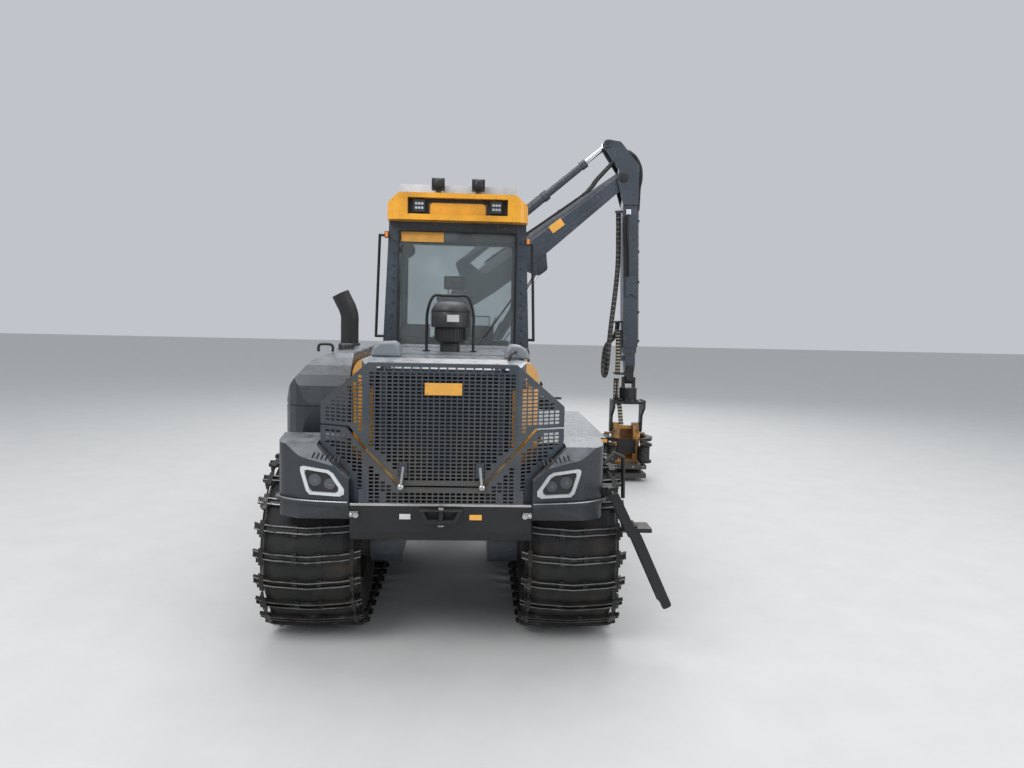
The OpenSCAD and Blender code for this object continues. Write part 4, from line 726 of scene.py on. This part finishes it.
def make_lamps():
    bezel = Shape()
    for side in SIDES:
        add_bezel(bezel, side)
    stand_in(bezel.make("lamp_bezels", "lamp_silver", REAR, bevel=1.5), "rear_lamps")
    mirrored(make_lamp_inside)


def fender_slope(x, z):
    """Y of the fender's rear face above the lamp."""
    plan = -3650 + max(0, abs(x) - 700) * 0.2
    return max(-3660 + max(0, z - 1440) * 0.875, plan)


def make_louvres(side):
    slots, hoods = Shape(), Shape()
    for i in range(7):
        x, z = 704 + 31 * i, 1500 + 5 * i
        corners = [(x + 12, z - 17), (x + 24, z - 16), (x + 12, z + 17), (x, z + 16)]
        verts = [(side * u, fender_slope(u, v) - 1.5, v) for u, v in corners]
        slots.add(verts + [(a, b + 3, c) for a, b, c in verts],
                  [[0, 1, 2, 3], [4, 5, 6, 7], [0, 1, 5, 4], [2, 3, 7, 6]])
        hoods.tube([(side * u, fender_slope(u, v) - 3, v) for u, v in corners[1:3]], 2.5, 6)
    slots.make(f"louvre_slots_{word(side)}", "shadow_gap", REAR)
    hoods.make(f"louvre_hoods_{word(side)}", "grey_plastic", REAR)


def make_fender_trim(side):
    lip = [(side * x, y, 1216) for x, y in ((650, -3674), (760, -3662), (900, -3636), (1030, -3596),
                                            (1110, -3552), (1160, -3500), (1196, -3440), (1199, -3330))]
    trim = Shape().tube(smooth_path(lip, 4), 5, 8)
    trim.make(f"fender_lip_{word(side)}", "bare_steel", REAR, smooth=True)
    bolts = Shape()
    for y in (-3300, -2800, -2300, -1800, -1450):
        bolts.bolt((side * 1175, y, 1490), (side, 0, 0), 12)
    bolts.make(f"fender_bolts_{word(side)}", "bare_steel", REAR)


make_bumper_trim()
make_lamps()
mirrored(make_louvres)
mirrored(make_fender_trim)


# Hood, tank, stack and air intake

TANK_TOP_Z = 2222
HOOD_TOP_Z = 2210


def spokes(count):
    """Angles spread evenly round a circle."""
    return [2 * math.pi * k / count for k in range(count)]


def make_tank_trim():
    handle = [(-1010, -2860, TANK_TOP_Z), (-1010, -2860, 2262), (-990, -2860, 2280), (-920, -2860, 2280),
              (-900, -2860, 2262), (-900, -2860, TANK_TOP_Z)]
    Shape().tube(smooth_path(handle, 4), 11).make("tank_handle", "black_paint", REAR, smooth=True)
    x, y = -860, -2450
    cap = Shape().turned((x, y, TANK_TOP_Z), UP,
                         [(0, 76), (10, 76), (12, 62), (40, 60), (48, 54), (50, 20)], 32)
    for a in spokes(12):
        cap.tube([(x + 62 * math.cos(a), y + 62 * math.sin(a), z) for z in (2236, 2266)], 5, 6)
    cap.make("tank_cap", "black_plastic", REAR, smooth=True)


STACK_R = 84
STACK_MOUTH = (-1030.3, -1500, 2620.6)


def make_stack():
    """The exhaust pipe: upright, then bent to the left in one sweep, with an open mouth."""
    route = [(-985, -1500, 2240), (-985, -1500, 2400), (-986, -1500, 2500), (-1008, -1500, 2576), STACK_MOUTH]
    stack = Shape().tube(smooth_path(route, 6), STACK_R, 40)
    stack.turned(STACK_MOUTH, (-0.447, 0, 0.894),
                 [(0, STACK_R), (98, STACK_R), (100, 80), (98, 76), (30, 74), (28, 2)], 40)
    stand_in(stack.make("exhaust_pipe", "black_paint", REAR, smooth=True), "exhaust")


def make_air_intake():
    centre = Vector((0, -2200, HOOD_TOP_Z))
    bowl = Shape().turned(centre, UP, [(0, 88), (70, 88), (84, 120), (96, 131), (205, 131),
                                       (216, 166), (232, 167), (340, 167), (352, 160)], 48)
    for a in spokes(30):
        spot = centre + Vector((math.cos(a), math.sin(a), 0)) * 133
        bowl.tube([spot + Vector((0, 0, z)) for z in (104, 204)], 5, 6)
    piece = bowl.make("air_intake_bowl", "black_plastic", "hood", smooth=True)
    stand_in(piece, "precleaner")
    for name, material, rise, profile in (
            ("air_intake_dome", "black_plastic", 352, [(0, 162), (14, 162), (62, 138), (84, 92), (88, 30)]),
            ("air_intake_band", "black_paint", 345, [(0, 164), (1, 169), (13, 169), (14, 164)])):
        turned = Shape().turned(centre + Vector((0, 0, rise)), UP, profile, 48)
        turned.make(name, material, "hood", smooth=True)
    arc = [centre + Vector((math.sin(a), -math.cos(a), 0)) * 169 for a in map(math.radians, range(-8, 30, 4))]
    n = len(arc)
    label = Shape().add([p + Vector((0, 0, z)) for z in (262, 322) for p in arc],
                        [[i, i + 1, n + i + 1, n + i] for i in range(n - 1)])
    label.make("air_intake_label", "sign_pale", "hood", smooth=True)
    hoop = Shape()
    for y in (-2222, -2178):
        half = [(205, 2211), (205, 2400), (200, 2560), (150, 2690), (60, 2698)]
        bow = [(-x, y, z) for x, z in half] + [(x, y, z) for x, z in half[::-1]]
        hoop.tube(smooth_path(bow, 4), 12)
    for s in SIDES:
        hoop.box((s * 205 - 30, -2250, HOOD_TOP_Z), (s * 205 + 30, -2150, 2220))
        for x, z in ((205, 2420), (190, 2600)):
            hoop.tube([(s * x, -2222, z), (s * x, -2178, z)], 9, 8)
    hoop.make("air_intake_hoop", "black_paint", "hood", smooth=True)


def make_hood_trim():
    seams = Shape()
    for y in (-2750, -1450):
        seams.box((-560, y - 4, 2209), (560, y + 4, 2213))
    seams.make("hood_seams", "shadow_gap", "hood")
    catches = Shape()
    for s in SIDES:
        for y in (-3250, -1900, -900):
            catches.box((s * 718 - 6, y - 45, 1960), (s * 718 + 6, y + 45, 2050))
            for z in (2028, 1982):
                catches.bolt((s * 724, y, z), (s, 0, 0), 9)
    catches.make("hood_catches", "black_plastic", "hood", bevel=3)
    handle = smooth_path([(470, -3330, 2208), (500, -3290, 2262), (600, -2960, 2262), (640, -2860, 2262),
                          (650, -2830, 2160)], 4)
    Shape().tube(handle, 11).make("hood_handle", "black_paint", "hood", smooth=True)
    humps = Shape()
    for s, x0, x1, top in ((-1, 333, 563, 2326), (1, 440, 640, 2318)):
        outline = [(x0, 2208), (x0 + 14, top - 40), (x0 + 50, top), (x1 - 70, top - 6), (x1 - 20, top - 46),
                   (x1, 2208)]
        humps.prism([(s * x, z) for x, z in outline], -3210, -2960)
    humps.make("hood_humps", "pale_plastic", "hood", bevel=22, smooth=True)
    stripe = Shape().box((1000, -2953, 1546), (1286, -2949, 1572))
    stripe.make("side_box_stripe", "yellow_paint", REAR, bevel=1)


make_tank_trim()
make_stack()
make_air_intake()
make_hood_trim()


# Tracks: pairs of bowed bars on side links, over the tyres

WHEEL_X = 985
AXLE_Z = 700.3
WHEEL_HALF = 750
PITCH_R = 676.3
TRACK_W = 783
SHOE_COUNT = 36
SHOE_TOP = 22
RUN = 2 * WHEEL_HALF
ARC = math.pi * PITCH_R
LOOP = 2 * RUN + 2 * ARC
LINK_INSET = 62
STATIONS = (-1, -0.82, -0.62, -0.42, -0.2, 0, 0.2, 0.42, 0.62, 0.82, 1)
BRICK_FACES = [[0, 2, 4, 6], [7, 5, 3, 1], [0, 1, 3, 2], [2, 3, 5, 4], [4, 5, 7, 6], [6, 7, 1, 0]]


def loop_frame(s):
    """Place on the track's pitch loop at length s as (y, z), and its outward direction."""
    s %= LOOP
    if s < RUN:
        return Vector((s - WHEEL_HALF, -PITCH_R)), Vector((0, -1))
    if RUN + ARC <= s < 2 * RUN + ARC:
        return Vector((WHEEL_HALF - (s - RUN - ARC), PITCH_R)), Vector((0, 1))
    end, start, turn = (1, RUN, -1) if s < RUN + ARC else (-1, 2 * RUN + ARC, 1)
    a = turn * math.pi / 2 + (s - start) / PITCH_R
    out = Vector((math.cos(a), math.sin(a)))
    return Vector((end * WHEEL_HALF, 0)) + out * PITCH_R, out


def add_shoe(shape, wear, side, bogie_y, s):
    """Two bowed ribs on a base bar, with studs, links and horns. wear gets the ribs' bright crests."""
    spot, out = loop_frame(s)
    along = Vector((-out.y, out.x))
    place = Vector((side * WHEEL_X, bogie_y, AXLE_Z))

    def put(x, forward, rise):
        p = spot + along * forward + out * rise
        return place + Vector((x, p.x, p.y))

    def brick(x, wide, back, front, low, high, lean=0, taper=1):
        """A block that leans sideways and tapers towards its low end."""
        corners = ((-wide, back), (wide, back), (wide, front), (-wide, front))
        shape.add([put(x + a + shift, b * share, r) for a, b in corners
                   for r, shift, share in ((low, lean, taper), (high, 0, 1))], BRICK_FACES)

    half = TRACK_W / 2
    for forward, low, high, thick in ((-22, -14, SHOE_TOP, 6), (22, -14, SHOE_TOP, 6), (0, -15, 2, 24)):
        rings = []
        for share in STATIONS:
            end = abs(share)
            middle = forward + (40 * (1 - end * end) + 3 * math.cos(end * 9) - 22)
            drop = 15 * end * end
            top = high - drop - (9 if end == 1 and high == SHOE_TOP else 0)
            rings.append([put(half * share, middle + t * thick, r) for t, r in (
                (-1, low - drop), (1, low - drop), (0.75, top), (-0.75, top))])
        ends = [[3, 2, 1, 0], [40, 41, 42, 43]]
        shape.add([v for ring in rings for v in ring], ring_faces(4, len(rings)) + ends)
        if high == SHOE_TOP:
            crest = [v + Vector((0, out.x, out.y)) * 0.4 for ring in rings for v in ring[2:]]
            wear.add(crest, [[i, i + 1, i + 3, i + 2] for i in range(0, len(crest) - 2, 2)])
    for x in (-90, 90):
        brick(x, 17, -26, 60, -6, SHOE_TOP - 8)
    for x in (-half + LINK_INSET, half - LINK_INSET):
        brick(x, 16, -62, 62, -5, 13)
    for x, lean in ((-half + 34, -8), (half - 34, 8)):
        brick(x, 7, -42, 42, -88, 4, lean, 0.55)


def make_tracks(name, node, bogie_y, body):
    shape, wear = Shape(), Shape()
    for side in SIDES:
        for k in range(SHOE_COUNT):
            add_shoe(shape, wear, side, bogie_y, (k + 0.5) * LOOP / SHOE_COUNT)
        # Thin carrier that the side links run on
        loop = [loop_frame(LOOP * k / 144)[0] for k in range(145)]
        for x in (-TRACK_W / 2 + LINK_INSET, TRACK_W / 2 - LINK_INSET):
            shape.tube([(side * WHEEL_X + x, bogie_y + p.x, AXLE_Z + p.y) for p in loop], 7, 6)
    stand_in(shape.make(name, "track_steel", body), node)
    wear.make(name.replace("shoes", "crests"), "worn_steel", body)


make_tracks("rear_track_shoes", "rear_tracks", -2000, REAR)
make_tracks("front_track_shoes", "front_tracks", 2000, FRONT)


# Cab

CAB_REAR_Y = 130


def make_cab_trim():
    face = CAB_REAR_Y - 1
    rear = [(-690, 2130), (690, 2130), (680, 3490), (-680, 3490), (-690, 2130)]
    seal = Shape().tube([(x, face, z) for x, z in rear], 13, 8)
    seal.make("rear_window_seal", "seal_rubber", FRONT, smooth=True)
    bolts = Shape()
    for s in SIDES:
        for z in range(2220, 3381, 145):
            bolts.bolt((s * (770 - (z - 2100) * 0.026), face, z), BACK, 11)
        for z in (3540, 2050):
            for x in (200, 450, 680):
                bolts.bolt((s * x, face, z), BACK, 9)
    bolts.make("cab_bolts", "black_paint", FRONT)
    wiper = Shape().turned((200, CAB_REAR_Y - 4, 2105), BACK, [(0, 34), (16, 34), (26, 18), (40, 16)])
    wiper.tube([(200, 96, 2105), (380, 98, 2360), (560, 108, 2600)], 9, 8)
    wiper.tube([(330, 120, 2270), (500, 116, 2520), (640, 122, 2720)], 10, 8)
    wiper.make("rear_wiper", "black_plastic", FRONT, smooth=True)
    plate = Shape().box((-660, 178, 3372), (-165, 182, 3486))
    plate.make("window_plate_blank", "sign_orange", FRONT, bevel=2)
    mirror = Shape().turned((-590, 232, 3275), (0.1, -1, 0),
                            [(0, 20), (4, 82), (14, 92), (20, 90), (22, 84), (21, 10)])
    mirror.tube([(-590, 236, 3275), (-620, 240, 3380), (-640, 300, 3480)], 8, 8)
    # Two dark forms low behind the pane
    form = [(240, 2262), (300, 2235), (430, 2235), (420, 2395), (400, 2409), (262, 2409), (242, 2395)]
    for low, high in ((-647, -325), (178, 442)):
        mirror.prism(form, low, high, "x")
    mirror.make("cab_mirror", "black_plastic", FRONT, smooth=True)
    for s, z in ((-1, 3440), (1, 3400)):
        for name, material, wide, y, tall, bevel in (("base", "black_plastic", 24, (104, 131), 38, 4),
                                                     ("lens", "amber_lens", 17, (90, 106), 30, 5)):
            marker = Shape().box((s * 822 - wide, y[0], z - tall), (s * 822 + wide, y[1], z + tall))
            marker.make(f"marker_{name}_{word(s)}", material, FRONT, bevel=bevel)
    # Grille bars that guard the lower right corner of the pane
    bars = Shape()
    for k in range(5):
        bars.tube([(300 + 70 * k, 176, 2150), (470 + 55 * k, 176, 2520 - 60 * k)], 6, 6)
    bars.make("pane_bars", "black_paint", FRONT, smooth=True)


LAMP_HALF = 39.5
LED_SPOTS = [(x, z) for x in (-34, 0, 34) for z in (-24, 24)]
ROOF_LAMPS = ((-440, 0, -1), (440, 0, -1), (-440, 1930, 1), (0, 1930, 1), (440, 1930, 1))
ROOF_LAMP_Z = 3760
TOP_LAMP_Z = 4022


def make_work_lights():
    bezels, lenses, fins = Shape(), Shape(), Shape()
    for x, y, way in ROOF_LAMPS:
        face = y + way * LAMP_HALF
        for u, v in LED_SPOTS:
            place = (x + u, face, ROOF_LAMP_Z + v)
            bezels.turned(place, (0, way, 0), [(0, 15), (2, 15), (3, 12), (-1, 8)], 16)
            lenses.turned(place, (0, way, 0), [(-1, 9), (2, 6), (3, 2)], 16)
        for u in (-68, 68):
            fins.tube([(x + u, face - way * 20, ROOF_LAMP_Z + v) for v in (-60, 60)], 6, 6)
    for x in (-230, 230):
        for place in ((x + u, 110, TOP_LAMP_Z + v) for u in (-32, 32) for v in (-26, 26)):
            bezels.turned(place, AHEAD, [(0, 22), (4, 22), (4.5, 18), (1, 14)], 16)
            lenses.turned(place, AHEAD, [(1, 14), (4, 10), (6, 3)], 16)
        fins.turned((x, 21, TOP_LAMP_Z - 2), BACK, [(0, 66), (14, 62), (26, 48), (32, 26)], 20)
        for v in (-40, -20, 0, 20, 40):
            fins.box((x - 50, -2, TOP_LAMP_Z - 4 + v), (x + 50, 10, TOP_LAMP_Z + v))
    bezels.make("work_light_rings", "reflector", FRONT, smooth=True)
    lenses.make("work_light_lenses", "white_lens", FRONT, smooth=True)
    fins.make("work_light_brackets", "black_paint", FRONT, smooth=True)
    pockets = Shape()
    for s in SIDES:
        pockets.prism([(s * 330, 3668), (s * 566, 3668), (s * 566, 3846), (s * 330, 3846)], 28, 39)
    pockets.make("roof_pockets", "black_plastic", FRONT, bevel=2)
    shadow = Shape().box((-330, 24, 3800), (330, 39, 3848))
    shadow.make("roof_recess_shadow", "black_plastic", FRONT, bevel=2)
    middle = [(-322, 3668), (322, 3668), (322, 3760), (300, 3806), (-300, 3806), (-322, 3760)]
    Shape().prism(middle, 10, 30).make("roof_recess", "yellow_paint", FRONT, bevel=12)


def make_console_trim():
    trim = Shape()
    for x in (-405, 325):
        trim.turned((x, 1240, 2230), (0, 0.1, 1),
                    [(0, 30), (12, 28), (30, 14), (92, 16), (120, 24), (140, 20), (150, 6)])
        trim.box((x - 50, 900, 2229), (x + 50, 1130, 2242))
    trim.prism([(1560, 2300), (1580, 2296), (1612, 2520), (1592, 2524)], 120, 420, "x")
    trim.tube([(270, 1600, 2300), (270, 1640, 2100), (270, 1700, 1730)], 16)
    trim.make("cab_controls", "black_plastic", FRONT, bevel=3)
    screen = Shape().prism([(1556, 2312), (1559, 2312), (1588, 2512), (1585, 2512)], 132, 408, "x")
    screen.make("cab_screen", "reflector", FRONT)


make_cab_trim()
make_work_lights()
make_console_trim()


# Seat: a turned foot and three cushions blown up by a cloth simulation

VOXEL = 0.008
SWELL_CAP = 0.024
START_SHARE = 0.93
SEAM_PITCH, SEAM_HALF, SEAM_DEPTH = 110, 9, 0.007


def cushion(name, outline, low, high):
    """A padded form from an outline of (y, z) between two x, with sewn seams across its front."""
    block = Shape().prism(outline, low, high, "x").make(name, "seat_fabric", None)
    mesh = block.data
    middle = sum((v.co for v in mesh.vertices), Vector()) / len(mesh.vertices)
    for v in mesh.vertices:
        v.co = middle + (v.co - middle) * START_SHARE
    remesh = block.modifiers.new("remesh", "REMESH")
    remesh.mode = "VOXEL"
    remesh.voxel_size = VOXEL
    apply_modifiers(block)
    start = [v.co.copy() for v in block.data.vertices]
    cloth = block.modifiers.new("cloth", "CLOTH")
    cloth.settings.use_pressure = True
    cloth.settings.uniform_pressure_force = 4
    cloth.settings.effector_weights.gravity = 0
    for number in range(1, 21):
        bpy.context.scene.frame_set(number)
    apply_modifiers(block)
    bpy.context.scene.frame_set(1)
    for v, home in zip(block.data.vertices, start):
        move = v.co - home
        if move.length > SWELL_CAP:
            v.co = home + move.normalized() * SWELL_CAP
        along = (v.co.x * 1000 + ORIGIN.x - low) / SEAM_PITCH
        near = abs(along - round(along)) * SEAM_PITCH
        v.co -= (v.co - middle).normalized() * SEAM_DEPTH * max(0, 1 - near / SEAM_HALF)
    block.modifiers.new("smooth", "SUBSURF").render_levels = 1
    block.data.shade_smooth()
    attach(block, FRONT)
    return block


def apply_modifiers(piece):
    graph = bpy.context.evaluated_depsgraph_get()
    mesh = bpy.data.meshes.new_from_object(piece.evaluated_get(graph))
    piece.modifiers.clear()
    piece.data = mesh


def make_seat():
    base = [(700, 2040), (1180, 2040), (1210, 2080), (1200, 2150), (700, 2160)]
    back = [(640, 2170), (755, 2170), (718, 2790), (690, 2815), (620, 2815), (600, 2790)]
    head = [(600, 2835), (695, 2835), (688, 2990), (670, 3008), (605, 3008), (592, 2990)]
    seat = cushion("seat_cushion", base, -300, 220)
    cushion("seat_back_cushion", back, -290, 210)
    cushion("seat_headrest", head, -180, 100)
    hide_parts("seat")
    bellows = [(70 + 20 * k, 84 if k % 2 else 96) for k in range(8)]
    foot = Shape().turned((-40, 950, 1721), UP,
                          [(0, 108), (20, 108), (30, 90), (60, 84)] + bellows + [(230, 108), (330, 108)], 32)
    foot.box((-280, 720, 2028), (200, 1160, 2042))
    for x in (-120, 40):
        foot.tube([(x, 660, 2780), (x, 652, 2860)], 8)
    for x in (-292, 212):
        foot.tube([(x, 700, 2100), (x, 680, 2200), (x, 700, 2260)], 14)
    foot.make("seat_foot", "black_plastic", FRONT, smooth=True)


make_seat()


# Crane

CRANE_Y = 2900
BOOM_HALF = 110
STICK_HALF = 115
FOOT = Vector((0, 2765))
TIP = Vector((2418.7, 4641.1))
HORN = Vector((2158.7, 5131.1))
JIB_LOW = Vector((3.3, 3299.1))
BOOM_TILT = math.radians(37.8)
BOOM_ALONG = Vector((math.cos(BOOM_TILT), math.sin(BOOM_TILT)))
BOOM_UP = Vector((-math.sin(BOOM_TILT), math.cos(BOOM_TILT)))
STICK_DOWN = Vector((0.0349, -0.9994))
STICK_OUT = Vector((0.9994, 0.0349))


def on_boom(along, up, y):
    p = FOOT + BOOM_ALONG * along + BOOM_UP * up
    return Vector((p.x, y, p.y))


def on_stick(down, out, y):
    p = TIP + STICK_DOWN * down + STICK_OUT * out
    return Vector((p.x, y, p.y))


def line_on(place, spots, y=0):
    """Points of a line or outline on the boom or the stick, where place is on_boom or on_stick."""
    return [place(a, b, y) for a, b in spots]


def oblong(a0, a1, b0, b1):
    return [(a0, b0), (a1, b0), (a1, b1), (a0, b1)]


def make_boom_trim():
    side_y = CRANE_Y - BOOM_HALF
    plate = Shape().slab(line_on(on_boom, oblong(1715, 1940, -35, 85)), side_y - 4, side_y - 0.5)
    plate.make("boom_plate_blank", "sign_orange", "boom", bevel=1)
    pipes = Shape()
    for y in (-46, -16, 16, 46):
        pipes.tube(line_on(on_boom, ((620, 232), (900, 226), (1700, 190), (2500, 164)), CRANE_Y + y), 16, 10)
    pipes.make("boom_pipes", "seal_rubber", "boom", smooth=True)
    clamps = Shape()
    for a, u in ((800, 208), (1400, 182), (2000, 156), (2450, 140)):
        clamps.slab(line_on(on_boom, oblong(a - 22, a + 22, u - 8, u + 40)), CRANE_Y - 70, CRANE_Y + 70)
        for y in (-62, 0, 62):
            clamps.bolt(on_boom(a, u + 39, CRANE_Y + y), (BOOM_UP.x, 0, BOOM_UP.y), 9)
    clamps.make("boom_pipe_clamps", "black_paint", "boom", bevel=3)
    seams = Shape()
    for y in (side_y - 1.5, CRANE_Y + BOOM_HALF + 1.5):
        for u in (-96, 104):
            line = [(a, u * (1 if a > 1500 else 1.25)) for a in (300, 900, 1500, 2200, 2760)]
            seams.tube(line_on(on_boom, line, y), 5, 6)
    seams.make("boom_weld_seams", "dark_paint", "boom", smooth=True)


def make_jib_trim():
    """Clamps and a pipe on the stick cylinder."""
    line = HORN - JIB_LOW
    way = Vector((line.x, 0, line.y)).normalized()
    start = Vector((JIB_LOW.x, CRANE_Y, JIB_LOW.y))
    trim = Shape()
    for d in (430, 900, 1350):
        trim.turned(start + way * d, way, [(0, 62), (4, 68), (40, 68), (44, 62)], 32)
    trim.make("stick_cylinder_clamps", "black_paint", "boom", smooth=True)
    pipe = Shape()
    side = Vector((-way.z, 0, way.x))
    pipe.tube([start + way * a + side * 74 for a in (300, 700, 1200, 1560)], 12, 10)
    pipe.tube([start + way * 1560 + side * 74, start + way * 1600 + side * 60], 12, 10)
    pipe.make("stick_cylinder_pipe", "steel", "boom", smooth=True)


def make_knuckle_hoses():
    hoses = Shape()
    for y, lift in ((CRANE_Y - 54, 0), (CRANE_Y - 20, 22), (CRANE_Y + 16, 0), (CRANE_Y + 52, 22)):
        route = line_on(on_boom, ((2440, 158), (2620, 170 + lift), (2790, 220 + lift)), y)
        route += [(2420, y, 5010 + lift), (2580, y, 4990 + lift), (2668 + lift, y, 4850),
                  (2690 + lift, y, 4660), (2682, y, 4470)]
        route += line_on(on_stick, ((330, 250), (480, 240)), y)
        hoses.tube(smooth_path(route, 6), 23, 10)
    piece = hoses.make("knuckle_hoses", "seal_rubber", None, smooth=True)
    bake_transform(piece)
    guards = Shape()
    for s in SIDES:
        y = CRANE_Y + s * 157.5
        for centre, r in ((TIP, 72), (HORN, 62)):
            guards.turned((centre.x, y, centre.y), (0, s, 0),
                          [(-2, r), (6, r), (9, r - 6), (9, r * 0.6), (13, r * 0.55), (14, 10)], 32)
            for a in spokes(6):
                place = (centre.x + (r - 16) * math.cos(a), y + s * 6, centre.y + (r - 16) * math.sin(a))
                guards.bolt(place, (0, s, 0), 7)
    guards.make("knuckle_pin_covers", "black_paint", "stick", smooth=True)


def make_stick_trim():
    rear = CRANE_Y - STICK_HALF
    box = Shape().slab(line_on(on_stick, ((1480, 30), (1480, 195), (1800, 195), (1740, 112), (1800, 30))),
                       rear - 26, rear + 1)
    box.make("stick_cover_box", "dark_paint", "stick", bevel=4)
    block = line_on(on_stick, ((470, 40), (470, 112), (545, 112), (545, 40)))
    fitting = Shape().slab(block, rear - 42, rear + 1)
    for d in (488, 528):
        fitting.turned(on_stick(d, 76, rear - 42), BACK, [(0, 13), (8, 13), (9, 9), (20, 9), (22, 5)], 12)
    fitting.make("stick_valve", "lamp_silver", "stick", bevel=3)
    runs = Shape()
    for y in (-84, -56, -28, 2):
        runs.tube(line_on(on_stick, ((480, 240), (700, 238), (1500, 238), (2500, 236)), CRANE_Y + y), 12, 10)
    runs.make("stick_pipes", "steel", "stick", smooth=True)
    clips = Shape()
    for d in (640, 1100, 1560, 2020, 2460):
        clips.slab(line_on(on_stick, oblong(d - 20, d + 20, 224, 254)), CRANE_Y - 104, CRANE_Y + 24)
    clips.make("stick_pipe_clips", "black_paint", "stick", bevel=3)
    side_hoses = Shape()
    for o in (30, 66):
        spots = ((560, o, -26), (760, o - 12, -34), (1100, o + 6, -22), (1480, o + 10, -20))
        side_hoses.tube(smooth_path([on_stick(d, out, rear + y) for d, out, y in spots], 6), 14, 10)
    side_hoses.make("stick_side_hoses", "seal_rubber", "stick", smooth=True)


make_boom_trim()
make_jib_trim()
make_knuckle_hoses()
make_stick_trim()


# Harvester head

HEAD_X = 2631.8


def on_head(x, y, z):
    return (HEAD_X + x, y, z)


def make_head_trim():
    hoses = Shape()
    for k, (x, y) in enumerate(((-214, 2868), (-190, 2890), (-168, 2872), (-200, 2930))):
        route = [(x, y, 1560), (x, y, 1420), (x - 4, y + 6, 1330), (x + 30, y + 30, 1250),
                 (x + 70, 2905 + 10 * k, 1150), (x + 90, 2930 + 6 * k, 1020), (x + 110, 2950, 860)]
        hoses.tube(smooth_path([on_head(*p) for p in route], 6), 15, 10)
    piece = hoses.make("head_feed_hoses", "hose_wrap", None, smooth=True)
    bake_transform(piece)
    for name, body, r, z in (("rotator_bolts", "rotator_body", 118, 1456.8),
                             ("yoke_bolts", "yoke", 150, 1270.8)):
        bolts = Shape()
        for a in spokes(10):
            bolts.bolt(on_head(r * math.cos(a), CRANE_Y + r * math.sin(a), z), UP, 9)
        bolts.make(name, "bare_steel", body)
    bolts = Shape()
    for s in SIDES:
        for z in (470, 640):
            bolts.bolt(on_head(s * 208, 2960, z), (s, 0, 0), 14)
    for x in (-240, -80, 80, 240):
        bolts.bolt(on_head(x, 2700, 240), BACK, 14)
    bolts.make("head_bolts", "bare_steel", "head")
    plate = Shape().box(on_head(-150, 2896, 420), on_head(150, 2899, 640))
    plate.make("head_rear_plate", "black_paint", "head", bevel=3)


def make_lift_trim():
    covers = Shape()
    for s in SIDES:
        covers.turned((330, CRANE_Y + s * 236, 1780), (0, s, 0), [(-2, 62), (6, 62), (9, 40)], 24)
    covers.make("lift_pin_covers", "black_paint", "column", smooth=True)


make_head_trim()
make_lift_trim()


# Stage and light

FLOOR = 60000


def make_stage():
    Finish("studio_floor", (0.60, 0.60, 0.59), 0.8, vary=0.02).grain(8, 0.001).done()
    Shape().box((-FLOOR, -FLOOR, -60), (FLOOR, FLOOR, 0)).make("floor", "studio_floor", None)


def area_light(name, place, aim, size, power):
    lamp = bpy.data.objects.new(name, bpy.data.lights.new(name, "AREA"))
    lamp.data.size = size
    lamp.data.energy = power
    turn = (Vector(aim) - Vector(place)).to_track_quat("-Z", "Y").to_matrix().to_4x4()
    lamp.matrix_world = Matrix.Translation(Vector(place)) @ turn
    bpy.context.scene.collection.objects.link(lamp)


def make_light():
    world = bpy.data.worlds.new("studio")
    bpy.context.scene.world = world
    world.use_nodes = True
    background = world.node_tree.nodes["Background"]
    background.inputs["Color"].default_value = (0.86, 0.90, 0.96, 1)
    background.inputs["Strength"].default_value = 0.62
    area_light("key", (-7, -10, 11), (-0.6, 0, 1.6), 7, 900)
    area_light("fill", (9, -8, 6), (-0.2, 0, 2), 8, 420)
    area_light("top", (0, 1, 13), (0, 0, 2), 9, 700)
    area_light("back", (2, 11, 9), (0, 0, 2), 8, 500)
    bpy.context.scene.view_settings.view_transform = "Standard"


make_stage()
make_light()
